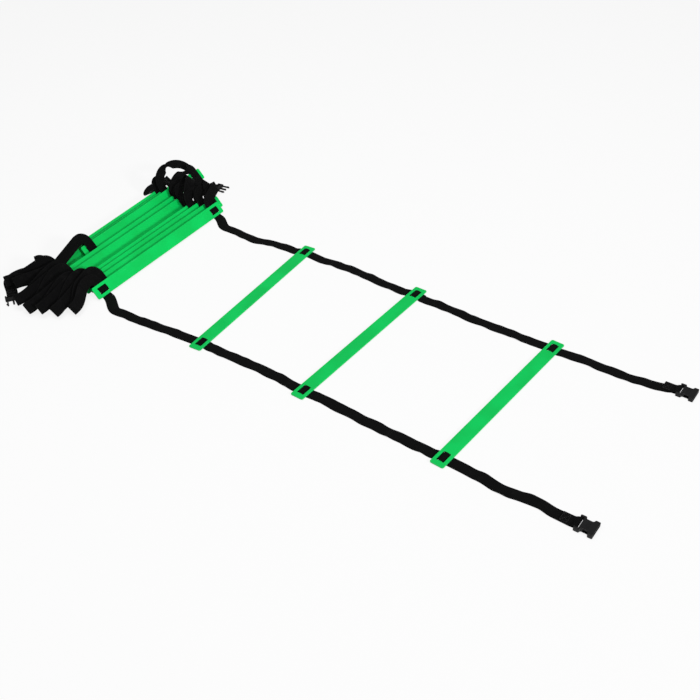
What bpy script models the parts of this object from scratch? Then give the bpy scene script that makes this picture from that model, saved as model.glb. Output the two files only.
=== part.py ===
# Agility ladder, half unrolled: nine rungs folded in a stack, three rungs laid out flat.
# X runs along the ladder from the folded stack to the female buckles, Y along the rungs
# from the near webbing to the far webbing, Z is up. All lengths are in metres.
import math

import bmesh
import bpy
import numpy as np
from mathutils import Euler
from mathutils import Matrix
from mathutils import Vector
from mathutils.bvhtree import BVHTree

# Driving dimensions of the rungs
RUNG_LENGTH = 0.450
RUNG_WIDTH = 0.030
RUNG_THICKNESS = 0.003
RUNG_CORNER_RADIUS = 0.004
RUNG_RIM_CHAMFER = 0.0006
RAIL_INSET = 0.025
RAIL_SPACING = RUNG_LENGTH - 2 * RAIL_INSET
SLOT_WIDTH = 0.0045
SLOT_END_CLEARANCE = 0.0005
BAR_WIDTH = 0.007

# Driving dimensions of the webbing
WEBBING_WIDTH = 0.025
WEBBING_THICKNESS = 0.0012
CLEARANCE = 0.0003
LAYER_GAP = 0.0006
LOOP_LENGTH = 0.150

# Places of the three rungs laid out flat, counted from the front rung of the stack
PITCH_09_10 = 0.2986
PITCH_10_11 = 0.2919
PITCH_11_12 = 0.3313
FLAT_RUNG_YAW_DEGREES = (4.3, -1.15, -3.2)
FLAT_RUNG_SLIDE_SHARES = (0.002, 0.0, -0.014)
HINGE_MARGIN = 0.006

# The stack: how far each rung lies behind the front one, its slide along Y and its turn
STACK_TILT_DEGREES = 50.0
STACK_STEP_SHARES = (0.0, 0.667, 1.267, 1.733, 3.1, 3.733, 4.6, 5.067, 5.533)
STACK_SLIDE_SHARES = (0.026, 0.072, 0.030, -0.022, 0.004, 0.014, 0.245, 0.010, -0.005)
STACK_LIFT_SHARES = (0, 0, 0, 0, 0, 0, 0.2, 0, 0)
STACK_YAW_DEGREES = (3.0, 2.8, 3.2, 3.4, 3.8, 4.2, 4.4, 4.6, 4.8)

# Female buckle, from its bar to its mouth
BUCKLE_THICKNESS = 0.009
BUCKLE_BAR_RADIUS = 0.002
BUCKLE_EAR_WIDTH = 0.035
BUCKLE_WAIST_WIDTH = 0.025
BUCKLE_MOUTH_WIDTH = 0.036
BUCKLE_EAR_LENGTH = 0.0125
BUCKLE_WAIST_LENGTH = 0.012
BUCKLE_MOUTH_LENGTH = 0.011
BUCKLE_WINDOW_LENGTH = 0.0030
BUCKLE_WALL = 0.0017
BUCKLE_BEVEL = 0.0008
SOCKET_WIDTH = 0.031
SOCKET_DEPTH = 0.020

# Male buckle, from its bar to the tips of its latch arms
MALE_THICKNESS = 0.0070
MALE_EAR_WIDTH = 0.034
MALE_CROSSBAR_LENGTH = 0.0086
MALE_ARM_LENGTH = 0.021
MALE_ARM_WIDTH = 0.0032
MALE_TIP_LENGTH = 0.008
MALE_TIP_WIDTH = 0.0058
MALE_SPREAD = 0.0285
MALE_TONGUE_WIDTH = 0.0042
MALE_TONGUE_LENGTH = 0.018

# Webbing ends: distance of the bars beyond rung 12, and the part sewn back on itself
NEAR_END_LENGTH = 0.2573
FAR_END_LENGTH = 0.2745
SEWN_BACK_LENGTH = 0.032

HALF_WEBBING = WEBBING_THICKNESS / 2
HALF_WIDTH = WEBBING_WIDTH / 2
HALF_PLATE = RUNG_THICKNESS / 2
HALF_RUNG = RUNG_WIDTH / 2
HALF_BAR = BAR_WIDTH / 2
SLOT_OUTER = HALF_BAR + SLOT_WIDTH
LAYER_PITCH = WEBBING_THICKNESS + LAYER_GAP

# Heights of the webbing's mid surface above a rung's mid plane
OVER_BAR = HALF_PLATE + CLEARANCE + HALF_WEBBING
OVER_WEBBING = OVER_BAR + LAYER_PITCH
UNDER_RUNG = -OVER_BAR
WRAP_RADIUS = (OVER_WEBBING - UNDER_RUNG) / 2
WRAP_MIDDLE = (OVER_WEBBING + UNDER_RUNG) / 2
EXIT_REACH = HALF_RUNG + 2 * WRAP_RADIUS / 3

SIDES = {"near": -1, "far": 1}
SHARP_ANGLE_DEGREES = 35


# Numbers and curves

def smooth_step(values):
    """Zero below 0, one above 1, and a cubic ease between."""
    held = np.clip(values, 0, 1)
    return held * held * (3 - 2 * held)


def bezier(start, start_handle, end_handle, end, count):
    """Points of a cubic curve, both ends included."""
    t = np.linspace(0, 1, count)[:, None]
    return (
        (1 - t) ** 3 * start
        + 3 * (1 - t) ** 2 * t * start_handle
        + 3 * (1 - t) * t ** 2 * end_handle
        + t ** 3 * end
    )


def spline(points, count):
    """A Catmull-Rom curve through the points, sampled evenly by parameter."""
    held = np.asarray(points, dtype=float)
    padded = np.vstack((2 * held[0] - held[1], held, 2 * held[-1] - held[-2]))
    place = np.linspace(0, len(held) - 1, count)
    left = np.minimum(place.astype(int), len(held) - 2)
    t = (place - left)[:, None]
    p0, p1, p2, p3 = (padded[left + step] for step in range(4))
    return (
        p1
        + t * (p2 - p0) / 2
        + t ** 2 * (p0 - 2.5 * p1 + 2 * p2 - p3 / 2)
        + t ** 3 * (1.5 * (p1 - p2) + (p3 - p0) / 2)
    )


def direction(angle, side):
    """Unit vector in the floor plane, at an angle from -X towards the side's outside."""
    return np.array((-math.cos(angle), side * math.sin(angle), 0))


# Frames of the rungs

class RungFrame:
    """Place of one rung: u runs across it to the back, v along it, w out of its face."""

    def __init__(self, centre, tilt, yaw):
        self.centre = np.array(centre)
        self.tilt = tilt
        self.yaw = yaw
        turn = np.array(Matrix.Rotation(yaw, 3, "Z") @ Matrix.Rotation(tilt, 3, "Y"))
        self.u = -turn[:, 0]
        self.v = turn[:, 1]
        self.w = turn[:, 2]

    def at(self, u, v, w):
        return self.centre + u * self.u + v * self.v + w * self.w


def stack_frames():
    """Frames of the folded rungs, front to back, each leaning on its lower edge."""
    tilt = math.radians(STACK_TILT_DEGREES)
    reach = HALF_RUNG * math.sin(tilt) - WRAP_MIDDLE * math.cos(tilt)
    height = reach + WRAP_RADIUS + HALF_WEBBING + CLEARANCE
    frames = []
    for step, slide, lift, yaw in zip(
        STACK_STEP_SHARES, STACK_SLIDE_SHARES, STACK_LIFT_SHARES, STACK_YAW_DEGREES
    ):
        yaw = math.radians(yaw)
        x = -RUNG_WIDTH * step - RUNG_LENGTH * slide * math.sin(yaw)
        y = RUNG_LENGTH * slide * math.cos(yaw)
        frames.append(RungFrame((x, y, height + RUNG_WIDTH * lift), tilt, yaw))
    return frames


def flat_frames():
    """Frames of the three rungs that lie flat on the webbing."""
    height = WEBBING_THICKNESS + CLEARANCE + HALF_PLATE
    frames = []
    x = 0
    for pitch, slide, yaw in zip(
        (PITCH_09_10, PITCH_10_11, PITCH_11_12), FLAT_RUNG_SLIDE_SHARES, FLAT_RUNG_YAW_DEGREES
    ):
        x += pitch
        frames.append(RungFrame((x, RUNG_LENGTH * slide, height), 0, math.radians(yaw)))
    return frames


def hinge_offset(frame):
    """How far a hinge line lies from a rung's middle, clear of the turned rung."""
    half_chord = HALF_RUNG * math.cos(frame.tilt) * math.cos(frame.yaw)
    return half_chord + RUNG_LENGTH / 2 * abs(math.sin(frame.yaw)) + HINGE_MARGIN


# Materials and meshes

def make_material(name, colour, roughness, metallic=0.0):
    material = bpy.data.materials.new(name)
    material.use_nodes = True
    shader = material.node_tree.nodes["Principled BSDF"]
    shader.inputs["Base Color"].default_value = (*colour, 1)
    shader.inputs["Roughness"].default_value = roughness
    shader.inputs["Metallic"].default_value = metallic
    material.diffuse_color = (*colour, 1)
    return material


def add_object(name, mesh, material):
    mesh.materials.clear()
    mesh.materials.append(material)
    mesh.shade_smooth()
    mesh.set_sharp_from_angle(angle=math.radians(SHARP_ANGLE_DEGREES))
    item = bpy.data.objects.new(name, mesh)
    bpy.context.scene.collection.objects.link(item)
    return item


def mesh_from_bmesh(name, body):
    bmesh.ops.recalc_face_normals(body, faces=body.faces)
    mesh = bpy.data.meshes.new(name)
    body.to_mesh(mesh)
    body.free()
    return mesh


def rounded_outline(width, length, radius, steps):
    """Corner points of a rectangle with round corners, anticlockwise."""
    points = []
    for quarter, (sx, sy) in enumerate(((1, 1), (-1, 1), (-1, -1), (1, -1))):
        for step in range(steps + 1):
            angle = math.pi / 2 * (quarter + step / steps)
            x = sx * (width / 2 - radius) + radius * math.cos(angle)
            y = sy * (length / 2 - radius) + radius * math.sin(angle)
            points.append((x, y))
    return points


def plate_mesh(name, outline, holes, thickness, chamfer):
    """A flat plate about Z = 0 with through holes and a chamfered outer rim."""
    body = bmesh.new()
    middle = Vector((0, 0, 0))
    for x, y in outline:
        middle += Vector((x, y, 0)) / len(outline)
    rings = []
    for inset, z in (
        (chamfer, -thickness / 2),
        (0, chamfer - thickness / 2),
        (0, thickness / 2 - chamfer),
        (chamfer, thickness / 2),
    ):
        ring = []
        for x, y in outline:
            shift_x = inset if x < middle.x else -inset
            shift_y = inset if y < middle.y else -inset
            ring.append(body.verts.new((x + shift_x, y + shift_y, z)))
        rings.append(ring)
    for lower, upper in zip(rings, rings[1:]):
        for index in range(len(outline)):
            after = (index + 1) % len(outline)
            body.faces.new((lower[index], lower[after], upper[after], upper[index]))
    hole_rings = []
    for hole in holes:
        pair = []
        for z in (-thickness / 2, thickness / 2):
            pair.append([body.verts.new((x, y, z)) for x, y in hole])
        for index in range(len(hole)):
            after = (index + 1) % len(hole)
            body.faces.new((pair[0][index], pair[0][after], pair[1][after], pair[1][index]))
        hole_rings.append(pair)
    for level, ring in ((0, rings[0]), (1, rings[-1])):
        loops = [ring] + [pair[level] for pair in hole_rings]
        edges = []
        for loop in loops:
            for index in range(len(loop)):
                edge = body.edges.get((loop[index], loop[(index + 1) % len(loop)]))
                edges.append(edge)
        bmesh.ops.triangle_fill(body, edges=edges, use_beauty=True)
    return mesh_from_bmesh(name, body)


def rung_mesh():
    """One rung: a plate with two slots and a bar between them near each end."""
    outline = rounded_outline(RUNG_WIDTH, RUNG_LENGTH, RUNG_CORNER_RADIUS, 3)
    slot_half = HALF_WIDTH + SLOT_END_CLEARANCE
    holes = []
    for rail in (-1, 1):
        for across in (-1, 1):
            x = across * (HALF_BAR + SLOT_WIDTH / 2)
            y = rail * RAIL_SPACING / 2
            holes.append(
                (
                    (x - SLOT_WIDTH / 2, y - slot_half),
                    (x + SLOT_WIDTH / 2, y - slot_half),
                    (x + SLOT_WIDTH / 2, y + slot_half),
                    (x - SLOT_WIDTH / 2, y + slot_half),
                )
            )
    return plate_mesh("rung", outline, holes, RUNG_THICKNESS, RUNG_RIM_CHAMFER)


# Webbing as a ribbon: stations with a centre and a half width vector

class Ribbon:
    """A strip of webbing that is built up station by station."""

    def __init__(self):
        self.centres = []
        self.halves = []

    def add(self, centre, half):
        self.centres.append(np.array(centre, dtype=float))
        self.halves.append(np.array(half, dtype=float))

    def add_local(self, frame, rail, places):
        """Stations in a rung's frame, on its slot line, each a (u, w) pair."""
        for u, w in places:
            self.add(frame.at(u, rail * RAIL_SPACING / 2, w), HALF_WIDTH * frame.v)

    def arrays(self):
        """Centres, half width vectors and unit normals of all stations."""
        centres = np.array(self.centres)
        halves = np.array(self.halves)
        runs = np.diff(centres, axis=0)
        runs /= np.linalg.norm(runs, axis=1)[:, None]
        along = np.vstack((runs[:1], runs[1:] + runs[:-1], runs[-1:]))
        along /= np.linalg.norm(along, axis=1)[:, None]
        normals = np.cross(along, halves)
        normals /= np.linalg.norm(normals, axis=1)[:, None]
        bend = np.ones(len(centres))
        bend[1:-1] = np.sum(along[1:-1] * runs[1:], axis=1)
        return centres, halves, normals / bend[:, None]

    def length(self):
        centres = np.array(self.centres)
        return float(np.sum(np.linalg.norm(np.diff(centres, axis=0), axis=1)))

    def mesh(self, name):
        """The ribbon as one closed body with a rectangular section."""
        centres, halves, normals = self.arrays()
        offset = normals * HALF_WEBBING
        corners = (
            centres + halves + offset,
            centres - halves + offset,
            centres - halves - offset,
            centres + halves - offset,
        )
        body = bmesh.new()
        rings = []
        for station in range(len(centres)):
            rings.append([body.verts.new(corner[station]) for corner in corners])
        for first, second in zip(rings, rings[1:]):
            for index in range(4):
                after = (index + 1) % 4
                body.faces.new((first[index], first[after], second[after], second[index]))
        body.faces.new(rings[0])
        body.faces.new(rings[-1])
        return mesh_from_bmesh(name, body)

    def least_gap(self):
        """Least free gap between stretches of the ribbon that aren't neighbours."""
        centres, halves, normals = self.arrays()
        edges = [centres + share * halves for share in (-1, 0, 1)]
        points = np.stack(edges, axis=1).reshape(-1, 3)
        faces = []
        owners = []
        for station in range(len(centres) - 1):
            for column in range(2):
                corner = 3 * station + column
                faces.append((corner, corner + 1, corner + 4, corner + 3))
                owners.append(station)
        tree = BVHTree.FromPolygons([tuple(point) for point in points], faces)
        walked = np.zeros(len(centres))
        walked[1:] = np.cumsum(np.linalg.norm(np.diff(centres, axis=0), axis=1))
        apart = 4 * WRAP_RADIUS
        least = LOOP_LENGTH
        where = None
        for station in range(len(centres)):
            for share in np.linspace(-1, 1, 5):
                spot = Vector(centres[station] + share * halves[station])
                for place, _, face, distance in tree.find_nearest_range(spot, LOOP_LENGTH / 8):
                    owner = owners[face]
                    if abs(walked[owner] - walked[station]) < apart:
                        continue
                    if abs(walked[owner + 1] - walked[station]) < apart:
                        continue
                    if distance < least:
                        least = distance
                        where = (station, owner)
        return least - WEBBING_THICKNESS, where


def slot_climb(sign, rising):
    """Stations that pass through a slot between under the rung and over its bar."""
    low = SLOT_OUTER - CLEARANCE * 2
    high = HALF_BAR + CLEARANCE * 2
    places = []
    for share in (0, 0.28, 0.5, 0.72, 1):
        u = low + (high - low) * share
        w = UNDER_RUNG + (OVER_BAR - UNDER_RUNG) * float(smooth_step(share))
        places.append((sign * u, w))
    return places if rising else places[::-1]


def over_the_bar():
    """Up through the front slot, over the bar and down through the back slot."""
    return slot_climb(-1, True) + slot_climb(1, False)


def wrapped_thread():
    """Webbing that comes in over a folded rung's face, round its lower edge and through."""
    places = [(HALF_RUNG, OVER_WEBBING), (-HALF_RUNG, OVER_WEBBING)]
    for share in (0.25, 0.5, 0.75):
        angle = math.pi * share
        u = -HALF_RUNG - WRAP_RADIUS * math.sin(angle)
        places.append((u, WRAP_MIDDLE + WRAP_RADIUS * math.cos(angle)))
    places += [(-HALF_RUNG, UNDER_RUNG), (-SLOT_OUTER, UNDER_RUNG)]
    places += over_the_bar()
    places += [(SLOT_OUTER, UNDER_RUNG), (HALF_RUNG, UNDER_RUNG)]
    return places


# The folded webbing

# How each loop of webbing lies beside the stack, front to back. Six numbers make a loop
# that turns outwards and comes down to a fold: the fold's place along X and out from the
# slot line, its lift and its gape, all in shares of the loop length, then its heading
# (90 is straight out) and its lean in degrees. Two numbers make a loop that stands in its
# rungs' planes: its turn outwards in degrees and its length in shares of the loop length.
# One number makes an arch from slot to slot, with its rise in the same shares.
NEAR_LOOP_SHARES = (
    (0.09, 0.5167, 0.00, 0.09, 104, 45),
    (-0.09, 0.6967, 0.00, 0.10, 98, 38),
    (-0.28, 0.8067, 0.03, 0.08, 94, 50),
    (-0.48, 0.8667, 0.00, 0.10, 88, 38),
    (-0.71, 0.8667, 0.05, 0.08, 80, 52),
    (-1.06, 0.5867, 0.06, 0.09, 74, 50),
    (-1.25, 0.6167, 0.03, 0.08, 68, 50),
    (66, 0.10),
)
FAR_LOOP_SHARES = (
    (74, 0.20),
    (60, 0.22),
    (-0.55, 0.6367, 0.04, 0.08, 92, 50),
    (62, 0.26),
    (-0.90, 0.6667, 0.05, 0.08, 86, 50),
    (0.17,),
    (0.38,),
    (-1.43, 0.4067, 0.00, 0.08, 70, 45),
)

# Routes of the stack's free webbing ends on the floor, in the same shares
NEAR_TAIL_SHARES = ((-1.28, 0.0267), (-1.47, 0.2067))
FAR_TAIL_SHARES = ((-1.56, 0.0067), (-1.66, 0.2867), (-1.44, 0.5967))

# The male buckles' places, and the last straight stretch that leads to each, in the same shares
NEAR_MALE_SHARE = (-1.02, 0.7467)
FAR_MALE_SHARE = (-0.68, 0.80)
NEAR_LEAD_SHARE = (0.42, 0.28)
FAR_LEAD_SHARE = (0.32, 0.05)

# How a leg runs: its turn in the rung's plane and its stations from there to the fold.
# Where the rung lies far in, a straight run that dips by an angle leads out to the heap.
BEND_RADIUS = 0.016
BEND_STATIONS = 4
RUN_DIP = math.radians(14)
RUN_STATIONS = 3
LEG_STATIONS = 6
FOLD_STATIONS = 4
ARCH_STATIONS = 14
FLOOR_MARGIN = 0.0030
TAIL_RUN = 0.038


def across_route(half, heading):
    """The half width vector made square to the direction of travel."""
    heading = heading / np.linalg.norm(heading)
    square = half - heading * np.dot(half, heading)
    return HALF_WIDTH * square / np.linalg.norm(square)


def curve_heading(controls, t):
    """Direction of a cubic curve at a parameter."""
    first, second, third, last = controls
    return (
        (1 - t) ** 2 * (second - first)
        + 2 * (1 - t) * t * (third - second)
        + t ** 2 * (last - third)
    )


def bend_vectors(frame, side, turn):
    """Heading and upper edge of webbing that has turned outwards in a rung's plane."""
    heading = frame.u * math.cos(turn) + side * frame.v * math.sin(turn)
    edge = frame.u * math.sin(turn) - side * frame.v * math.cos(turn)
    return heading, edge


def leg_stations(side, spot, frame, turn, target, forward, edge):
    """One leg of a loop, from its rung to its fold: pairs of centre and half width."""
    stations = [(spot, HALF_WIDTH * frame.v)]
    inside = RAIL_SPACING / 2 - side * spot[1]
    if inside > WEBBING_WIDTH:
        turn += RUN_DIP
    for step in range(1, BEND_STATIONS + 1):
        angle = turn * step / BEND_STATIONS
        along = BEND_RADIUS * math.sin(angle)
        out = side * BEND_RADIUS * (1 - math.cos(angle))
        first_edge = bend_vectors(frame, side, angle)[1]
        centre = spot + along * frame.u + out * frame.v
        stations.append((centre, -side * HALF_WIDTH * first_edge))
    heading, first_edge = bend_vectors(frame, side, turn)
    if inside > WEBBING_WIDTH:
        start = stations[-1][0]
        for step in range(1, RUN_STATIONS + 1):
            run = inside * step / RUN_STATIONS
            stations.append((start + run * heading, -side * HALF_WIDTH * first_edge))
    bend_end = stations[-1][0]
    reach = np.linalg.norm(target - bend_end) * 0.38
    controls = (
        bend_end, bend_end + reach * heading, target - reach * forward, target
    )
    curve = bezier(*controls, LEG_STATIONS + 1)
    for step in range(1, LEG_STATIONS + 1):
        t = step / LEG_STATIONS
        blend = float(smooth_step(t))
        half = -side * ((1 - blend) * first_edge + blend * edge)
        stations.append((curve[step], across_route(half, curve_heading(controls, t))))
    return stations


def folded_loop(side, turn, fold, out_frame, out_spot, home_frame, home_spot):
    """A loop beside the stack: out to its fold, round it and home."""
    middle, forward, edge, normal, gape = fold
    out_end = middle + normal * gape / 2
    home_end = middle - normal * gape / 2
    stations = leg_stations(side, out_spot, out_frame, turn, out_end, forward, edge)
    for step in range(1, FOLD_STATIONS + 1):
        angle = math.pi * step / (FOLD_STATIONS + 1)
        turned = normal * math.cos(angle) + forward * math.sin(angle)
        stations.append((middle + gape / 2 * turned, -side * HALF_WIDTH * edge))
    home_leg = leg_stations(side, home_spot, home_frame, turn, home_end, forward, edge)
    return stations + home_leg[::-1]


def fold_on_floor(side, row):
    """A fold that comes down to the floor beside the stack."""
    x, y, lift, gape, heading, lean = row
    heading = math.radians(heading)
    lean = math.radians(lean)
    gape = gape * LOOP_LENGTH
    forward = direction(heading, side)
    back = np.array((-math.sin(heading), -side * math.cos(heading), 0))
    up = np.array((0, 0, 1))
    edge = back * math.cos(lean) + up * math.sin(lean)
    normal = up * math.cos(lean) - back * math.sin(lean)
    rest = FLOOR_MARGIN + HALF_WIDTH * math.sin(lean) + gape / 2 * math.cos(lean)
    out = RAIL_SPACING / 2 + LOOP_LENGTH * y
    middle = np.array((LOOP_LENGTH * x, side * out, rest + LOOP_LENGTH * lift))
    return middle, forward, edge, normal, gape


def standing_fold(side, turn, length, out_frame, out_spot, home_frame, home_spot):
    """A fold that stands between the planes of its two rungs."""
    ends = []
    for frame, spot in ((out_frame, out_spot), (home_frame, home_spot)):
        heading = bend_vectors(frame, side, turn)[0]
        along = BEND_RADIUS * math.sin(turn)
        out = side * BEND_RADIUS * (1 - math.cos(turn))
        ends.append(spot + along * frame.u + out * frame.v + length * heading)
    forward, edge = bend_vectors(home_frame, side, turn)
    gape = float(np.dot(ends[0] - ends[1], home_frame.w))
    return (ends[0] + ends[1]) / 2, forward, edge, home_frame.w, gape


def arched_loop(rise, out_frame, out_spot, home_frame, home_spot):
    """A loop that arches from one rung's slot up and over to the next rung's."""
    controls = (
        out_spot, out_spot + rise * out_frame.u, home_spot + rise * home_frame.u, home_spot
    )
    curve = bezier(*controls, ARCH_STATIONS + 2)
    stations = []
    for step, centre in enumerate(curve):
        heading = curve_heading(controls, step / (ARCH_STATIONS + 1))
        stations.append((centre, across_route(out_frame.v, heading)))
    return stations


def loop_stations(side, row, out_frame, home_frame):
    """The loop of webbing between two neighbouring folded rungs."""
    rail = side * RAIL_SPACING / 2
    out_spot = out_frame.at(EXIT_REACH, rail, UNDER_RUNG)
    home_spot = home_frame.at(EXIT_REACH, rail, OVER_WEBBING)
    places = (out_frame, out_spot, home_frame, home_spot)
    if len(row) == 1:
        return arched_loop(LOOP_LENGTH * row[0], *places)
    if len(row) == 2:
        turn = math.radians(row[0])
        fold = standing_fold(side, turn, LOOP_LENGTH * row[1], *places)
        return folded_loop(side, turn, fold, *places)
    return folded_loop(side, math.pi / 2, fold_on_floor(side, row), *places)


def add_looped_end(ribbon, bar, heading, bar_height):
    """Webbing that runs under a buckle's bar, round it, and back along itself."""
    forward = np.array((math.cos(heading), math.sin(heading), 0))
    half = HALF_WIDTH * np.array((-math.sin(heading), math.cos(heading), 0))
    turn_radius = BUCKLE_BAR_RADIUS + CLEARANCE + HALF_WEBBING
    spot = np.array((bar[0], bar[1], 0))
    up = np.array((0, 0, 1))
    ribbon.add(spot - forward * 5 * turn_radius + up * HALF_WEBBING, half)
    ribbon.add(spot - forward * 4 * turn_radius + up * HALF_WEBBING, half)
    for share in (-0.5, -0.25, 0, 0.25, 0.5):
        angle = math.pi * share
        around = forward * math.cos(angle) + up * math.sin(angle)
        ribbon.add(spot + up * bar_height + around * turn_radius, half)
    second_layer = HALF_WEBBING + LAYER_PITCH
    for share, height in (
        (1.5, bar_height + turn_radius / 2),
        (3, second_layer + HALF_WEBBING),
        (4, second_layer),
    ):
        ribbon.add(spot - forward * share * turn_radius + up * height, half)
    ribbon.add(spot - forward * SEWN_BACK_LENGTH + up * second_layer, half)


def beside_rail(side, share):
    """A place on the floor beside the stack: along X, and out from the slot line."""
    x, out = share
    return np.array((LOOP_LENGTH * x, side * (RAIL_SPACING / 2 + LOOP_LENGTH * out)))


def tail_stations(side, spot, frame, shares, bar, lead):
    """The free end from the last rung: down to the floor and along its route."""
    turn_radius = BUCKLE_BAR_RADIUS + CLEARANCE + HALF_WEBBING
    back = frame.u[:2] / np.linalg.norm(frame.u[:2])
    route = [spot[:2], spot[:2] + back * BEND_RADIUS / 2]
    route += [beside_rail(side, share) for share in shares]
    route.append(bar - lead)
    route.append(bar - lead / np.linalg.norm(lead) * 8 * turn_radius)
    count = 3 * len(route)
    line = spline(route, count)
    walked = np.concatenate(((0,), np.cumsum(np.linalg.norm(np.diff(line, axis=0), axis=1))))
    tangent = np.gradient(line, axis=0)
    tangent /= np.linalg.norm(tangent, axis=1)[:, None]
    height = HALF_WEBBING + (spot[2] - HALF_WEBBING) * (1 - smooth_step(walked / TAIL_RUN))
    centres = np.column_stack((line, height))
    halves = HALF_WIDTH * np.column_stack((tangent[:, 1], -tangent[:, 0], np.zeros(count)))
    halves[0] = HALF_WIDTH * frame.v
    return centres, halves


def male_place(side_name):
    """Bar centre of a stack's male buckle, and the stretch of webbing that leads to it."""
    side = SIDES[side_name]
    place = NEAR_MALE_SHARE if side_name == "near" else FAR_MALE_SHARE
    lead = NEAR_LEAD_SHARE if side_name == "near" else FAR_LEAD_SHARE
    return beside_rail(side, place), np.array((lead[0], side * lead[1])) * LOOP_LENGTH


def folded_ribbon(side_name, frames, start_x, start_y):
    """One side's webbing: through all the folded rungs, loop by loop, to its free end."""
    side = SIDES[side_name]
    rail = side * RAIL_SPACING / 2
    folds = NEAR_LOOP_SHARES if side_name == "near" else FAR_LOOP_SHARES
    tail = NEAR_TAIL_SHARES if side_name == "near" else FAR_TAIL_SHARES
    ribbon = Ribbon()
    across = np.array((0, HALF_WIDTH, 0))
    front = frames[0]
    foot = front.at(-HALF_RUNG, rail, UNDER_RUNG)
    ribbon.add((start_x, start_y, HALF_WEBBING), across)
    ribbon.add((foot[0] + WRAP_RADIUS * 2, (start_y + foot[1]) / 2, HALF_WEBBING), across)
    ribbon.add_local(front, side, [(-HALF_RUNG, UNDER_RUNG), (-SLOT_OUTER, UNDER_RUNG)])
    ribbon.add_local(front, side, over_the_bar())
    ribbon.add_local(front, side, [(SLOT_OUTER, UNDER_RUNG), (HALF_RUNG, UNDER_RUNG)])
    for row, first, second in zip(folds, frames, frames[1:]):
        for centre, half in loop_stations(side, row, first, second):
            ribbon.add(centre, half)
        ribbon.add_local(second, side, wrapped_thread())
    last = frames[-1].at(EXIT_REACH, rail, UNDER_RUNG)
    bar, lead = male_place(side_name)
    for centre, half in zip(*tail_stations(side, last, frames[-1], tail, bar, lead)):
        ribbon.add(centre, half)
    flipped = Ribbon()
    add_looped_end(flipped, bar, math.atan2(lead[1], lead[0]), MALE_THICKNESS / 2)
    for centre, half in zip(flipped.centres, flipped.halves):
        ribbon.add(centre, -half)
    return ribbon


# The webbing laid out flat

# Sideways place of the webbing in each gap, from hinge line to hinge line, measured from
# the slot line towards +Y in shares of the webbing's width
NEAR_SWAY_SHARES = (
    (-0.68, -0.72, -0.60, -0.36, -0.12),
    (0.04, 0.08, 0.16, 0.16, 0.0),
    (0.04, -0.08, -0.20, -0.24, -0.28),
)
FAR_SWAY_SHARES = (
    (-0.84, -0.72, -0.88, -0.36, -0.24),
    (-0.08, 0.12, 0.08, -0.10, -0.16),
    (-0.16, -0.16, -0.32, -0.28, -0.28),
)
NEAR_END_SWAY_SHARES = (-0.32, -0.46, -0.62, -0.34, -0.50, -0.54)
FAR_END_SWAY_SHARES = (-0.24, -0.16, -0.20, -0.18, 0.06, 0.48)
SPAN_STATIONS = 21


def sway_run(side_name, shares, x_start, x_end):
    """Evenly spaced centres along a gap, read from a smooth curve through its sways."""
    line = SIDES[side_name] * RAIL_SPACING / 2
    knots = np.linspace(x_start, x_end, len(shares))
    route = [(x, line + WEBBING_WIDTH * share) for x, share in zip(knots, shares)]
    return spline(route, SPAN_STATIONS)


def flat_piece(route, x_low, x_high):
    """A ribbon on the floor along a route, cut square at two X places."""
    ribbon = Ribbon()
    inner = [x for x in route[:, 0] if x_low + CLEARANCE < x < x_high - CLEARANCE]
    for x in [x_low] + inner + [x_high]:
        y = np.interp(x, route[:, 0], route[:, 1])
        ribbon.add((x, y, HALF_WEBBING), (0, HALF_WIDTH, 0))
    return ribbon


def flat_thread(frame, rail, x_low, y_low, x_high, y_high):
    """Webbing that passes under a flat rung's edges and over its bar."""
    across = np.array((0, HALF_WIDTH, 0))
    ribbon = Ribbon()
    ribbon.add((x_low, y_low, HALF_WEBBING), across)
    ribbon.add_local(frame, rail, [(HALF_RUNG, UNDER_RUNG), (SLOT_OUTER, UNDER_RUNG)])
    ribbon.add_local(frame, rail, [(u, w) for u, w in slot_climb(1, True)])
    ribbon.add_local(frame, rail, [(u, w) for u, w in slot_climb(-1, False)])
    ribbon.add_local(frame, rail, [(-SLOT_OUTER, UNDER_RUNG), (-HALF_RUNG, UNDER_RUNG)])
    ribbon.add((x_high, y_high, HALF_WEBBING), across)
    return ribbon


# Buckles

def prism(name, outline, bottom, top):
    """A closed prism over an outline."""
    body = bmesh.new()
    low = [body.verts.new((x, y, bottom)) for x, y in outline]
    high = [body.verts.new((x, y, top)) for x, y in outline]
    body.faces.new(low)
    body.faces.new(high)
    for index in range(len(outline)):
        after = (index + 1) % len(outline)
        body.faces.new((low[index], low[after], high[after], high[index]))
    return mesh_from_bmesh(name, body)


def block(name, x_low, x_high, half_width, bottom, top):
    outline = (
        (x_low, -half_width), (x_high, -half_width), (x_high, half_width), (x_low, half_width)
    )
    return prism(name, outline, bottom, top)


def mirrored(half_outline):
    """A closed outline from its half on the +Y side, listed from back to front."""
    return list(half_outline) + [(x, -y) for x, y in reversed(half_outline)]


def bar_mesh(name, half_length):
    """A round bar along Y through the origin."""
    body = bmesh.new()
    turn = Matrix.Rotation(math.pi / 2, 4, "X")
    bmesh.ops.create_cone(
        body, cap_ends=True, segments=14, radius1=BUCKLE_BAR_RADIUS,
        radius2=BUCKLE_BAR_RADIUS, depth=2 * half_length, matrix=turn,
    )
    return mesh_from_bmesh(name, body)


def add_tool(name, mesh, material, place):
    """A cutter or a joined piece that the build leaves out by itself."""
    tool = add_object(name, mesh, material)
    tool.matrix_world = place
    tool.hide_render = True
    tool.display_type = "WIRE"
    return tool


def add_boolean(item, tool, operation):
    modifier = item.modifiers.new(operation.lower() + "_" + tool.name, "BOOLEAN")
    modifier.operation = operation
    modifier.solver = "EXACT"
    modifier.object = tool


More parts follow.
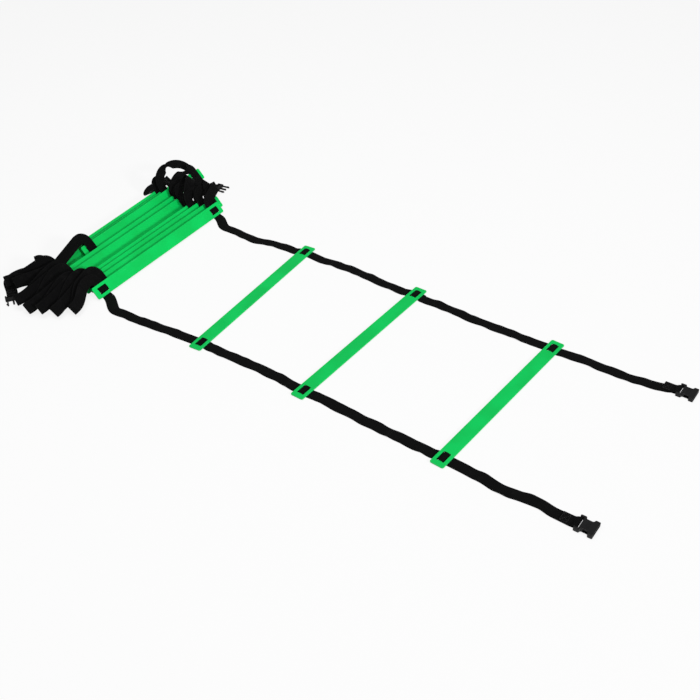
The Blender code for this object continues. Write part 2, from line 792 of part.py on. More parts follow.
def add_bevel(item, width, segments):
    modifier = item.modifiers.new("soft_edges", "BEVEL")
    modifier.width = width
    modifier.segments = segments
    modifier.limit_method = "ANGLE"
    modifier.angle_limit = math.radians(40)


def add_female_buckle(name, material, bar, heading):
    """The socket half of a side release buckle, with the webbing's bar at its back."""
    place = Matrix.Translation((bar[0], bar[1], BUCKLE_THICKNESS / 2))
    place = place @ Matrix.Rotation(heading, 4, "Z")
    half_height = BUCKLE_THICKNESS / 2
    back = -BUCKLE_BAR_RADIUS - BUCKLE_BEVEL
    ear_end = back + BUCKLE_EAR_LENGTH
    waist_end = ear_end + BUCKLE_WAIST_LENGTH
    mouth_end = waist_end + BUCKLE_MOUTH_LENGTH
    ear = BUCKLE_EAR_WIDTH / 2
    waist = BUCKLE_WAIST_WIDTH / 2
    mouth = BUCKLE_MOUTH_WIDTH / 2
    shoulder = BUCKLE_BAR_RADIUS
    outline = mirrored(
        (
            (back, ear), (ear_end - shoulder, ear), (ear_end, waist), (waist_end, waist),
            (waist_end + shoulder, mouth), (mouth_end, mouth),
        )
    )
    item = add_object(name, prism(name, outline, -half_height, half_height), material)
    item.matrix_world = place
    add_bevel(item, BUCKLE_BEVEL, 2)
    window = HALF_WIDTH + BUCKLE_BEVEL
    over = BUCKLE_THICKNESS
    cut_window = block(
        name + "_window", back - over, BUCKLE_BAR_RADIUS + BUCKLE_WINDOW_LENGTH, window, -over, over
    )
    cut_socket = block(
        name + "_socket", mouth_end - SOCKET_DEPTH, mouth_end + over, SOCKET_WIDTH / 2,
        BUCKLE_WALL - half_height, half_height - BUCKLE_WALL,
    )
    add_boolean(item, add_tool(name + "_window", cut_window, material, place), "DIFFERENCE")
    add_boolean(item, add_tool(name + "_socket", cut_socket, material, place), "DIFFERENCE")
    bar_piece = bar_mesh(name + "_bar", window + BUCKLE_BEVEL)
    add_boolean(item, add_tool(name + "_bar", bar_piece, material, place), "UNION")
    return item


def add_male_buckle(name, material, bar, heading):
    """The latch half of a side release buckle: bar, crossbar, two arms and a tongue."""
    half_height = MALE_THICKNESS / 2
    place = Matrix.Translation((bar[0], bar[1], half_height))
    place = place @ Matrix.Rotation(heading, 4, "Z")
    back = -BUCKLE_BAR_RADIUS - BUCKLE_BEVEL
    window_end = BUCKLE_BAR_RADIUS + BUCKLE_WINDOW_LENGTH
    cross_end = window_end + MALE_CROSSBAR_LENGTH
    ear = MALE_EAR_WIDTH / 2
    base = block(name, back, cross_end, ear, -half_height, half_height)
    item = add_object(name, base, material)
    item.matrix_world = place
    add_bevel(item, BUCKLE_BEVEL, 2)
    window = HALF_WIDTH + BUCKLE_BEVEL
    over = MALE_THICKNESS
    cut_window = block(name + "_window", back - over, window_end, window, -over, over)
    add_boolean(item, add_tool(name + "_window", cut_window, material, place), "DIFFERENCE")
    bar_piece = bar_mesh(name + "_bar", window + BUCKLE_BEVEL)
    add_boolean(item, add_tool(name + "_bar", bar_piece, material, place), "UNION")
    root = cross_end - MALE_CROSSBAR_LENGTH / 2
    arm_end = cross_end + MALE_ARM_LENGTH
    outer = MALE_SPREAD / 2
    inner = outer - MALE_ARM_WIDTH
    hook = arm_end - MALE_TIP_LENGTH
    tongue = MALE_TONGUE_WIDTH / 2
    outline = mirrored(
        (
            (root, outer), (hook, outer), (hook, inner + MALE_TIP_WIDTH),
            (arm_end - MALE_TIP_LENGTH / 3, outer), (arm_end, inner + MALE_ARM_WIDTH / 2),
            (arm_end - MALE_TIP_LENGTH / 3, inner), (cross_end, inner), (cross_end, tongue),
            (cross_end + MALE_TONGUE_LENGTH, tongue),
        )
    )
    arm_half = half_height - BUCKLE_WALL
    arms = prism(name + "_arms", outline, -arm_half, arm_half)
    add_boolean(item, add_tool(name + "_arms", arms, material, place), "UNION")
    return item


# Assembly

def clear_scene():
    for item in list(bpy.data.objects):
        bpy.data.objects.remove(item, do_unlink=True)


def add_rungs(frames, first_number, mesh, material):
    for order, frame in enumerate(frames):
        number = first_number + order
        item = add_object(f"rung_{number:02d}", mesh, material)
        item.location = frame.centre
        item.rotation_euler = Euler((0, frame.tilt, frame.yaw))


def add_ribbon(name, ribbon, material):
    return add_object(name, ribbon.mesh(name), material)


def stand_on_origin():
    """Moves everything so that the bounding box stands centred on the origin."""
    bpy.context.view_layer.update()
    graph = bpy.context.evaluated_depsgraph_get()
    low = Vector((math.inf,) * 3)
    high = Vector((-math.inf,) * 3)
    for item in bpy.data.objects:
        if item.hide_render:
            continue
        shown = item.evaluated_get(graph)
        for vertex in shown.data.vertices:
            spot = shown.matrix_world @ vertex.co
            low = Vector(map(min, low, spot))
            high = Vector(map(max, high, spot))
    shift = Vector(((low.x + high.x) / 2, (low.y + high.y) / 2, low.z))
    for item in bpy.data.objects:
        item.location -= shift
    bpy.context.view_layer.update()
    return shift, high - low


def build_ladder():
    clear_scene()
    green = make_material("rung_green", (0.0, 0.60, 0.11), 0.42)
    black = make_material("webbing_black", (0.010, 0.010, 0.011), 0.85)
    plastic = make_material("buckle_black", (0.013, 0.013, 0.014), 0.35)
    folded = stack_frames()
    flat = flat_frames()
    plate = rung_mesh()
    add_rungs(list(reversed(folded)), 1, plate, green)
    add_rungs(flat, len(folded) + 1, plate, green)
    row = [folded[0]] + flat
    numbers = [len(folded) + step for step in range(len(row))]
    seam = CLEARANCE / 2
    lines = []
    for before, after in zip(row, row[1:]):
        low = before.centre[0] + hinge_offset(before)
        high = after.centre[0] - hinge_offset(after)
        lines.append((low, (low + high) / 2, high))
    end_line = row[-1].centre[0] + hinge_offset(row[-1])
    sways = {"near": NEAR_SWAY_SHARES, "far": FAR_SWAY_SHARES}
    end_sways = {"near": NEAR_END_SWAY_SHARES, "far": FAR_END_SWAY_SHARES}
    end_lengths = {"near": NEAR_END_LENGTH, "far": FAR_END_LENGTH}
    for side_name, side in SIDES.items():
        routes = []
        for shares, (low, _, high) in zip(sways[side_name], lines):
            routes.append(sway_run(side_name, shares, low, high))
        ribbon = folded_ribbon(side_name, folded, lines[0][0] - seam, routes[0][0][1])
        add_ribbon(side_name + "_folded_webbing", ribbon, black)
        gap, where = ribbon.least_gap()
        print(f"{side_name} folded webbing: {ribbon.length():.3f} m long,", end=" ")
        print(f"least gap to itself {gap * 1000:.2f} mm at stations {where}")
        for order, (route, (low, middle, high)) in enumerate(zip(routes, lines)):
            label = f"{side_name}_webbing_{numbers[order]:02d}_{numbers[order + 1]:02d}"
            add_ribbon(label + "_a", flat_piece(route, low + seam, middle - seam), black)
            add_ribbon(label + "_b", flat_piece(route, middle + seam, high - seam), black)
        slide = side * RAIL_SPACING / 2 + WEBBING_WIDTH * end_sways[side_name][-1]
        bar = (end_line + end_lengths[side_name] - hinge_offset(row[-1]), slide)
        end_route = sway_run(side_name, end_sways[side_name], end_line, bar[0])
        starts = [route[0][1] for route in routes[1:]] + [end_route[0][1]]
        highs = [line[0] for line in lines[1:]] + [end_line]
        for order, frame in enumerate(flat):
            thread = flat_thread(
                frame, side, lines[order][2] + seam, routes[order][-1][1],
                highs[order] - seam, starts[order],
            )
            add_ribbon(f"{side_name}_thread_{numbers[order + 1]:02d}", thread, black)
        turn_radius = BUCKLE_BAR_RADIUS + CLEARANCE + HALF_WEBBING
        tail = flat_piece(end_route, end_line + seam, bar[0] - 8 * turn_radius)
        add_looped_end(tail, bar, 0, BUCKLE_THICKNESS / 2)
        add_ribbon(side_name + "_end_webbing", tail, black)
        add_female_buckle(side_name + "_female_buckle", plastic, bar, 0)
        male_bar, lead = male_place(side_name)
        heading = math.atan2(lead[1], lead[0])
        add_male_buckle(side_name + "_male_buckle", plastic, male_bar, heading)
        print(f"{side_name} end webbing: {tail.length():.3f} m long, least gap", end=" ")
        print(f"{tail.least_gap()[0] * 1000:.2f} mm, bar at {bar[0]:.4f} {bar[1]:.4f},", end=" ")
        print(f"male bar at {male_bar[0]:.4f} {male_bar[1]:.4f}, {math.degrees(heading):.2f} degrees")
    print("hinge lines", [tuple(round(x, 5) for x in line) for line in lines], round(end_line, 5))
    shift, size = stand_on_origin()
    print("moved by", [round(-value, 5) for value in shift], "size", [round(v, 5) for v in size])


build_ladder()
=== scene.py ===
import math
from functools import partialmethod

import bmesh
import bpy
import numpy as np
from mathutils import Matrix, Vector


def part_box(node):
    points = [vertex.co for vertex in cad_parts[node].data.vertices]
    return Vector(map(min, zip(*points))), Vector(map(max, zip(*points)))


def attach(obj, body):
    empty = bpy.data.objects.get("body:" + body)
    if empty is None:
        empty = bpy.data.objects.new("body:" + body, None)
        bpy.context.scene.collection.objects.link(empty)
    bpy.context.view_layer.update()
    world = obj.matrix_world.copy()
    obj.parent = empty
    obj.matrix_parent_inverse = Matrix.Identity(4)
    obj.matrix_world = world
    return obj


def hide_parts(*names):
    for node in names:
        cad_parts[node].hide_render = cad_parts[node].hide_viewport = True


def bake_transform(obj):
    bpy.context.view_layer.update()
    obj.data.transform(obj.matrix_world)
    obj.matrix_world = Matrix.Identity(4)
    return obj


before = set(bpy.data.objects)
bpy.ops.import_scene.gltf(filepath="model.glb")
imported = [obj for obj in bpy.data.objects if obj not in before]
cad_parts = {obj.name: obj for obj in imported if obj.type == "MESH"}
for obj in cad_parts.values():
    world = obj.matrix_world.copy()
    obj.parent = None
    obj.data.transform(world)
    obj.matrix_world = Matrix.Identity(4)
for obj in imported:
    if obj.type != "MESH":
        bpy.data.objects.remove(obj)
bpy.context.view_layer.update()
print("frame loaded:", len(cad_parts), "nodes")

# All lengths are in metres. X runs along the ladder from the stack to the socket buckles,
# Y from the near webbing to the far one, Z up.
rungPlate = {
    "length": 0.450, "width": 0.030, "thickness": 0.003, "cornerRadius": 0.004, "cornerSteps": 6,
    "edgeRadius": 0.0008, "supportInset": 0.0006, "webbingInset": 0.025,
    "slotWidth": 0.0045, "slotClearance": 0.0005, "slotRadius": 0.0009, "slotSteps": 3,
    "slotEdge": 0.0004, "barWidth": 0.007,
}
webbing = {
    "width": 0.025, "thickness": 0.0012, "clearance": 0.0003, "layerGap": 0.0006,
    "loopReach": 0.150, "fineStep": 0.0005, "smoothPasses": 6, "stationStep": 0.0024,
    "stationTurn": 7.0, "leastStep": 1e-6, "climbSteps": 12, "wrapSteps": 12, "sharpDegrees": 60,
}
laidRungs = {
    "pitches": (0.2986, 0.2919, 0.3313), "yawDegrees": (4.3, -1.15, -3.2),
    "slideShares": (0.002, 0.0, -0.014), "hingeMargin": 0.006,
}
stack = {
    "tiltDegrees": 50.0,
    "stepShares": (0.0, 0.667, 1.267, 1.733, 3.1, 3.733, 4.6, 5.067, 5.533),
    "slideShares": (0.026, 0.072, 0.030, -0.022, 0.004, 0.014, 0.245, 0.010, -0.005),
    "liftShares": (0, 0, 0, 0, 0, 0, 0.2, 0, 0),
    "yawDegrees": (3.0, 2.8, 3.2, 3.4, 3.8, 4.2, 4.4, 4.6, 4.8),
}
sides = {"near": -1, "far": 1}

halfWebbing = webbing["thickness"] / 2
halfWidth = webbing["width"] / 2
loopReach = webbing["loopReach"]
halfPlate = rungPlate["thickness"] / 2
halfRung = rungPlate["width"] / 2
halfLength = rungPlate["length"] / 2
halfBar = rungPlate["barWidth"] / 2
halfSpacing = halfLength - rungPlate["webbingInset"]
slotOuter = halfBar + rungPlate["slotWidth"]
layerPitch = webbing["thickness"] + webbing["layerGap"]
overBar = halfPlate + webbing["clearance"] + halfWebbing
overWebbing = overBar + layerPitch
underRung = -overBar
wrapRadius = (overWebbing - underRung) / 2
wrapMiddle = (overWebbing + underRung) / 2
exitReach = halfRung + 2 * wrapRadius / 3


# numbers and curves

def smoothStep(values):
    # zero below 0, one above 1, cubic ease between
    held = np.clip(values, 0, 1)
    return held * held * (3 - 2 * held)


def evenSteps(steps):
    # from 0 to 1 in even steps, as a column
    return np.linspace(0, 1, steps + 1)[:, None]


def cubicCurve(controls, steps):
    # Bezier curve through four controls, with its direction at each point
    a, b, c, d = controls
    t = evenSteps(steps)
    points = (1 - t) ** 3 * a + 3 * (1 - t) ** 2 * t * b + 3 * (1 - t) * t ** 2 * c + t ** 3 * d
    headings = (1 - t) ** 2 * (b - a) + 2 * (1 - t) * t * (c - b) + t ** 2 * (d - c)
    return points, headings


def smoothRoute(points, count):
    # Catmull-Rom curve through the points, even in its parameter
    held = np.asarray(points, float)
    padded = np.vstack((2 * held[0] - held[1], held, 2 * held[-1] - held[-2]))
    place = np.linspace(0, len(held) - 1, count)
    left = np.minimum(place.astype(int), len(held) - 2)
    t = (place - left)[:, None]
    p0, p1, p2, p3 = (padded[left + step] for step in range(4))
    bend = p0 - 2.5 * p1 + 2 * p2 - p3 / 2
    return p1 + t * (p2 - p0) / 2 + t ** 2 * bend + t ** 3 * (1.5 * (p1 - p2) + (p3 - p0) / 2)


def unit(vectors):
    return vectors / np.linalg.norm(vectors, axis=-1, keepdims=True)


def walkedAlong(points):
    # length of the line from its start to each of its points
    steps = np.linalg.norm(np.diff(points, axis=0), axis=1)
    return np.concatenate(((0,), np.cumsum(steps)))


def acrossRoute(halves, headings):
    # half width vectors made square to the direction of travel
    headings = unit(headings)
    square = halves - headings * np.sum(halves * headings, axis=1, keepdims=True)
    return halfWidth * unit(square)


# places of the rungs

def rungPlace(centre, tilt, yaw):
    # u runs across the rung to its back, v along it, w out of its face
    turn = np.array(Matrix.Rotation(yaw, 3, "Z") @ Matrix.Rotation(tilt, 3, "Y"))
    return {"centre": np.array(centre, float), "tilt": tilt, "yaw": yaw, "turn": turn,
            "u": -turn[:, 0], "v": turn[:, 1], "w": turn[:, 2]}


def pointOn(place, u, v, w):
    return place["centre"] + u * place["u"] + v * place["v"] + w * place["w"]


def stackPlaces():
    # each folded rung leans on its lower edge, one behind the other
    tilt = math.radians(stack["tiltDegrees"])
    reach = halfRung * math.sin(tilt) - wrapMiddle * math.cos(tilt)
    height = reach + wrapRadius + halfWebbing + webbing["clearance"]
    places = []
    for step, slide, lift, yaw in zip(stack["stepShares"], stack["slideShares"],
                                      stack["liftShares"], stack["yawDegrees"]):
        yaw = math.radians(yaw)
        x = -rungPlate["width"] * step - rungPlate["length"] * slide * math.sin(yaw)
        y = rungPlate["length"] * slide * math.cos(yaw)
        places.append(rungPlace((x, y, height + rungPlate["width"] * lift), tilt, yaw))
    return places


def laidPlaces():
    # the rungs that lie flat on the webbing
    height = webbing["thickness"] + webbing["clearance"] + halfPlate
    xs = np.cumsum(laidRungs["pitches"])
    return [rungPlace((x, rungPlate["length"] * slide, height), 0, math.radians(yaw))
            for x, slide, yaw in zip(xs, laidRungs["slideShares"], laidRungs["yawDegrees"])]


def hingeOffset(place):
    # how far a crease lies from a rung's middle, clear of the turned rung
    chord = halfRung * math.cos(place["tilt"]) * math.cos(place["yaw"])
    return chord + halfLength * abs(math.sin(place["yaw"])) + laidRungs["hingeMargin"]


folded = stackPlaces()
laid = laidPlaces()
boxLow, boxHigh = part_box("rung_11")
# from the places used here to those in the frame
shift = np.array((boxLow + boxHigh) / 2) - laid[1]["centre"]
row = [folded[0]] + laid
creases = []
for before, after in zip(row, row[1:]):
    low = before["centre"][0] + hingeOffset(before)
    high = after["centre"][0] - hingeOffset(after)
    creases.append((low, (low + high) / 2, high))
endCrease = row[-1]["centre"][0] + hingeOffset(row[-1])
print("shift to the frame", np.round(shift, 5))


# meshes

def linkNew(name, data):
    item = bpy.data.objects.new(name, data)
    bpy.context.scene.collection.objects.link(item)
    return item


def newMesh(name, points, faces):
    mesh = bpy.data.meshes.new(name)
    mesh.from_pydata(points, [], faces)
    return mesh


def gridFaces(index):
    # quads between neighbouring rows of a grid of vertex numbers, each row closed on itself
    after = np.roll(index, -1, axis=1)
    return np.stack((index[:-1], after[:-1], after[1:], index[1:]), axis=-1).reshape(-1, 4)


def facesOutward(points, faces):
    # sign of the summed corner products of the quads' triangles, about the middle of the points
    a, b, c, d = (points[faces[:, corner]] - points.mean(axis=0) for corner in range(4))
    return np.sum(a * np.cross(b, c)) + np.sum(a * np.cross(c, d)) > 0


def addUvs(mesh, name, uvs):
    # one map place per vertex, handed on to every corner that uses it
    corners = np.zeros(len(mesh.loops), int)
    mesh.loops.foreach_get("vertex_index", corners)
    layer = mesh.uv_layers.new(name=name)
    layer.data.foreach_set("uv", uvs[corners].astype(np.float32).ravel())


def smoothMesh(mesh, sharpDegrees):
    mesh.shade_smooth()
    mesh.set_sharp_from_angle(angle=math.radians(sharpDegrees))
    mesh.update()
    return mesh


def addPiece(name, mesh, body, material):
    mesh.materials.clear()
    mesh.materials.append(material)
    piece = linkNew(name, mesh)
    if body:
        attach(piece, body)
    return piece


def tubeMesh(name, rings):
    # closed tube: rings of points (station, column, xyz), capped at both ends
    index = np.arange(rings.shape[0] * rings.shape[1]).reshape(rings.shape[:2])
    points = rings.reshape(-1, 3)
    faces = gridFaces(index).tolist() + [index[0, ::-1].tolist(), index[-1].tolist()]
    if not facesOutward(points, gridFaces(index)):
        faces = [face[::-1] for face in faces]
    return smoothMesh(newMesh(name, points, faces), webbing["sharpDegrees"])


def inwardSteps(points):
    # the move of each corner that shifts both of its edges left by one
    ahead = unit(np.roll(points, -1, axis=0) - points)
    behind = np.roll(ahead, 1, axis=0)
    left = np.stack((-ahead[:, 1], ahead[:, 0]), axis=1)
    leftBefore = np.stack((-behind[:, 1], behind[:, 0]), axis=1)
    return (left + leftBefore) / (1 + np.sum(left * leftBefore, axis=1, keepdims=True))


def roundCorners(corners, radii, steps):
    # every corner of the outline becomes an arc that touches both of its edges
    points = np.asarray(corners, float)
    radii = np.broadcast_to(np.asarray(radii, float), (len(points),))
    toBefore = unit(np.roll(points, 1, axis=0) - points)
    toAfter = unit(np.roll(points, -1, axis=0) - points)
    half = np.arccos(np.clip(np.sum(toBefore * toAfter, axis=1), -1, 1)) / 2
    reach = radii / np.tan(half)
    centre = points + unit(toBefore + toAfter) * (radii / np.sin(half))[:, None]
    start = points + toBefore * reach[:, None] - centre
    end = points + toAfter * reach[:, None] - centre
    t = evenSteps(steps)[None]
    sweep = (math.pi - 2 * half)[:, None, None]
    weights = [np.sin(share * sweep) / np.sin(sweep) for share in (1 - t, t)]
    arcs = centre[:, None] + weights[0] * start[:, None] + weights[1] * end[:, None]
    return arcs.reshape(-1, 2)


plateSharpDegrees = 38
rimTolerance = 1e-6


def softPlate(name, outline, holes, bottom, top, edge, holeEdge, support, steps=4):
    # a plate whose rim and holes have quarter round edges; outline anticlockwise, holes clockwise
    phase = np.linspace(0, math.pi / 2, steps + 1)
    points, quads, count = [], [], 0
    for loop, radius in [(outline, edge)] + [(hole, holeEdge) for hole in holes]:
        insets = np.concatenate(((radius + support,), radius * (1 - np.sin(phase))))
        heights = np.concatenate(((0,), radius * (1 - np.cos(phase))))
        insets = np.concatenate((insets, insets[::-1]))
        levels = np.concatenate((bottom + heights, top - heights[::-1]))
        rings = np.empty((len(levels), len(loop), 3))
        rings[..., :2] = loop + insets[:, None, None] * inwardSteps(loop)
        rings[..., 2] = levels[:, None]
        index = np.arange(len(levels) * len(loop)).reshape(len(levels), -1)
        quads.append(gridFaces(count + index))
        points.append(rings.reshape(-1, 3))
        count += len(points[-1])
    mesh = newMesh(name, np.vstack(points), np.vstack(quads).tolist())
    body = bmesh.new()
    body.from_mesh(mesh)
    for level in (bottom, top):
        rim = [line for line in body.edges
               if line.is_boundary and abs(line.verts[0].co.z - level) < rimTolerance]
        bmesh.ops.triangle_fill(body, edges=rim, use_beauty=True)
    bmesh.ops.recalc_face_normals(body, faces=body.faces)
    body.to_mesh(mesh)
    body.free()
    return smoothMesh(mesh, plateSharpDegrees)


def carve(name, mesh, tools):
    # the mesh after its cutters (-1) and joined parts (1), as a plain new mesh
    base = linkNew(name + "Base", mesh)
    helpers = []
    for toolMesh, sign in tools:
        helpers.append(linkNew(name + "Tool", toolMesh))
        modifier = base.modifiers.new("carve", "BOOLEAN")
        modifier.operation = "UNION" if sign > 0 else "DIFFERENCE"
        modifier.solver = "EXACT"
        modifier.object = helpers[-1]
    bpy.context.view_layer.update()
    graph = bpy.context.evaluated_depsgraph_get()
    done = bpy.data.meshes.new_from_object(base.evaluated_get(graph))
    done.name = name
    for helper in helpers + [base]:
        bpy.data.objects.remove(helper)
    return smoothMesh(done, plateSharpDegrees)


# shader nodes and their groups

class Field:
    # a shader value: plain arithmetic on it adds the maths nodes
    def __init__(self, tree, socket):
        self.tree, self.socket = tree, socket

    def solve(self, operation, *others):
        node = addNode(self.tree, "Math", self, *others, operation=operation)
        return Field(self.tree, node.outputs[0])

    __add__ = partialmethod(solve, "ADD")
    __sub__ = partialmethod(solve, "SUBTRACT")
    __mul__ = partialmethod(solve, "MULTIPLY")
    __truediv__ = partialmethod(solve, "DIVIDE")
    __abs__ = partialmethod(solve, "ABSOLUTE")

    def remap(self, low, high, newLow=0.0, newHigh=1.0):
        node = addNode(self.tree, "MapRange", self, low, high, newLow, newHigh,
                       interpolation_type="SMOOTHSTEP")
        return Field(self.tree, node.outputs[0])


def put(tree, source, target):
    # links a field or a socket, or sets a plain value
    if isinstance(source, Field):
        source = source.socket
    if isinstance(source, bpy.types.NodeSocket):
        tree.links.new(source, target)
    else:
        target.default_value = source


def addNode(tree, kind, *values, **settings):
    # a node with its settings, and its inputs filled in their order
    node = tree.nodes.new("ShaderNode" + kind)
    for label, value in settings.items():
        setattr(node, label, value)
    for value, socket in zip(values, node.inputs):
        put(tree, value, socket)
    return node


def fill(tree, node, values):
    # sets or links inputs by name
    for label, value in values.items():
        put(tree, value, node.inputs[label])
    return node


def noise(tree, vector, scale, detail=2.0, roughness=0.5):
    values = {"Scale": scale, "Detail": detail, "Roughness": roughness}
    return Field(tree, fill(tree, addNode(tree, "TexNoise", vector), values).outputs["Fac"])


def mixed(tree, share, first, second, kind="RGBA"):
    # two colours, or two values, mixed by a share
    node = addNode(tree, "Mix", share, data_type=kind)
    place, result = {"FLOAT": (2, 0), "RGBA": (6, 2)}[kind]
    put(tree, first, node.inputs[place])
    put(tree, second, node.inputs[place + 1])
    return Field(tree, node.outputs[result])


def separate(tree, vector):
    return [Field(tree, output) for output in addNode(tree, "SeparateXYZ", vector).outputs]


def makeGroup(name, look, build):
    # a node group that takes a vector and the look's inputs, and puts out what build gives
    tree = bpy.data.node_groups.new(name, "ShaderNodeTree")
    tree.interface.new_socket("Vector", in_out="INPUT", socket_type="NodeSocketVector")
    for label, value in look["inputs"].items():
        socket = tree.interface.new_socket(label, in_out="INPUT", socket_type="NodeSocketFloat")
        socket.default_value = value
    start = tree.nodes.new("NodeGroupInput").outputs[:len(look["inputs"]) + 1]
    outputs = build(tree, look, *[Field(tree, socket) for socket in start])
    for label in outputs:
        tree.interface.new_socket(label, in_out="OUTPUT", socket_type="NodeSocketFloat")
    fill(tree, tree.nodes.new("NodeGroupOutput"), outputs)
    return tree


def placeGroup(tree, group, values):
    node = fill(tree, addNode(tree, "Group", node_tree=group), values)
    return {output.name: Field(tree, output) for output in node.outputs}


# Each range is where its mask rises, or falls, from end to end; fuzz and fluff are a noise's
# scale, detail and roughness
grainLook = {
    "inputs": {"Grain Scale": 900.0, "Streak Stretch": 12.0, "Streak Scale": 260.0},
    "streakRange": (0.60, 0.72), "patchScale": 9.0, "patchRange": (0.46, 0.66), "rubbedDip": 0.35,
    "slowScale": 14.0,
}
wearLook = {
    "inputs": {"Half Width": halfRung, "Half Length": halfLength, "Rim": 0.0016},
    "raggedScale": 420.0, "raggedShare": 1.2, "range": (0.35, 1.25),
}
weaveLook = {
    "inputs": {"Column Width": 0.0031, "Yarn Pitch": 0.0013, "Slant": 1.3, "Half Width": halfWidth},
    "columnShift": 50.5, "wobbleScale": 160.0, "wobble": 0.0006,
    "valleyRange": (0.72, 1.0), "valleyFloor": 0.55, "selvedgeRange": (0.0010, 0.0019),
    "cordPitch": 4 / 3, "cordSwing": 0.3, "fuzz": (2600.0, 3.0, 0.7), "fuzzShare": 0.25,
    "fluff": (55.0, 4.0, 0.65), "fluffRange": (0.5, 0.78), "shadeRange": (0.1, 0.9),
}


def grainMasks(tree, look, vector, grainScale, stretch, streakScale):
    # fine moulded skin: a grain, slow unevenness and thin rubbed streaks
    x, y, z = separate(tree, vector)
    stretched = addNode(tree, "CombineXYZ", x, y / stretch, z).outputs[0]
    streaks = noise(tree, stretched, streakScale, 4.0).remap(*look["streakRange"])
    rubbed = streaks * noise(tree, vector, look["patchScale"]).remap(*look["patchRange"])
    height = noise(tree, vector, grainScale, 3.0) - rubbed * look["rubbedDip"]
    slow = noise(tree, vector, look["slowScale"], 3.0)
    return {"Height": height, "Unevenness": slow, "Rubbed": rubbed}


def wearMask(tree, look, vector, halfAcross, halfAlong, rim):
    # pale worn rim: how near a point of the rung's map lies to its edges and ends
    x, y, _ = separate(tree, vector)
    nearest = (halfAcross - abs(x)).solve("MINIMUM", halfAlong - abs(y))
    ragged = noise(tree, vector, look["raggedScale"], 3.0) * rim * look["raggedShare"]
    return {"Wear": ((nearest + ragged) / rim).remap(*look["range"], 1.0, 0.0)}


def weaveMasks(tree, look, vector, columnWidth, pitch, slant, half):
    # herringbone weave: yarn ridges that slant one way and the other in narrow columns
    across, along, _ = separate(tree, vector)
    column = (across / columnWidth + look["columnShift"]).solve("FRACT")
    slope = abs(column - 0.5) * 2.0
    wobble = (noise(tree, vector, look["wobbleScale"]) - 0.5) * look["wobble"]
    rows = (along + wobble) / pitch
    ridge = ((rows + slope * slant) * (2 * math.pi)).solve("SINE") * 0.5 + 0.5
    valley = abs((slope - 0.5) * 2.0).remap(*look["valleyRange"], 1.0, look["valleyFloor"])
    selvedge = (half - abs(across)).remap(*look["selvedgeRange"], 1.0, 0.0)
    cord = (rows * (2 * math.pi / look["cordPitch"])).solve("SINE")
    cord = cord * look["cordSwing"] + (1 - look["cordSwing"])
    woven = mixed(tree, selvedge, ridge * valley, cord, "FLOAT")
    height = woven + noise(tree, vector, *look["fuzz"]) * look["fuzzShare"]
    fluff = noise(tree, vector, *look["fluff"]).remap(*look["fluffRange"])
    # Shade is painted light and shade: the weave's ridges lighter, its valleys and column grooves
    # darker, following the same relief as Height
    return {"Height": height, "Shade": woven.remap(*look["shadeRange"]), "Fluff": fluff}


mouldedGrain = makeGroup("mouldedGrain", grainLook, grainMasks)
rimWear = makeGroup("rimWear", wearLook, wearMask)
webbingWeave = makeGroup("webbingWeave", weaveLook, weaveMasks)

# Each bump is a strength and a depth
greenPlastic = {
    "colour": (0.0016, 0.600, 0.108, 1), "deeper": (0.0012, 0.530, 0.090, 1),
    "worn": (0.026, 0.60, 0.165, 1), "wearShare": 0.55, "rubbedShare": 0.5,
    "roughness": (0.36, 0.52), "bump": (0.5, 0.00006), "specular": 0.15,
}
# valley and yarn are painted shade and painted light: the weave's hollows darker, its ridges
# lighter; dust is real fluff
blackWebbing = {
    "valley": (0.0009, 0.0009, 0.0010, 1), "yarn": (0.0034, 0.0034, 0.0036, 1),
    "dust": (0.0070, 0.0069, 0.0068, 1), "dustShare": 0.6,
    "roughness": (0.9, 0.72), "bump": (0.8, 0.00032), "specular": 0.075, "sheen": 0.008,
}
blackAcetal = {
    "colour": (0.0062, 0.0062, 0.0066, 1), "rubbed": (0.016, 0.016, 0.017, 1),
    "rubbedShare": 0.7, "grain": {"Grain Scale": 1400.0, "Streak Scale": 420.0},
    "roughness": (0.34, 0.52), "bump": (0.5, 0.00005), "specular": 0.22,
}
sewingThread = {
    "colour": (0.012, 0.012, 0.013, 1), "light": (0.022, 0.022, 0.024, 1),
    "fibres": (2600.0, 3.0, 0.7), "fibreRange": (0.3, 0.7),
    "roughness": (0.5, 0.7), "bump": (0.5, 0.00004), "specular": 0.5,
}
unevenRange = (0.35, 0.65)


def newMaterial(name):
    material = bpy.data.materials.new(name)
    material.use_nodes = True
    tree = material.node_tree
    return material, tree, tree.nodes["Principled BSDF"]


def objectPlace(tree):
    return addNode(tree, "TexCoord").outputs["Object"]


def mapPlace(tree, layerName):
    return addNode(tree, "UVMap", uv_map=layerName).outputs[0]


# Each of these gives the colour, the roughness and the height of the bumps

def plasticShade(tree, look):
    grain = placeGroup(tree, mouldedGrain, {"Vector": objectPlace(tree)})
    wear = placeGroup(tree, rimWear, {"Vector": mapPlace(tree, "rungMap")})["Wear"]
    slow = grain["Unevenness"].remap(*unevenRange)
    marks = (wear * look["wearShare"]).solve("MAXIMUM", grain["Rubbed"] * look["rubbedShare"])
    colour = mixed(tree, slow, look["colour"], look["deeper"])
    roughness = (slow * 0.5 + marks * 0.5).remap(0.0, 1.0, *look["roughness"])
    return mixed(tree, marks, colour, look["worn"]), roughness, grain["Height"]


def webbingShade(tree, look):
    weave = placeGroup(tree, webbingWeave, {"Vector": mapPlace(tree, "weaveMap")})
    # painted shade: the yarn colour darkens from the weave's ridges into its valleys
    yarn = mixed(tree, weave["Shade"], look["valley"], look["yarn"])
    colour = mixed(tree, weave["Fluff"] * look["dustShare"], yarn, look["dust"])
    return colour, weave["Shade"].remap(0.0, 1.0, *look["roughness"]), weave["Height"]


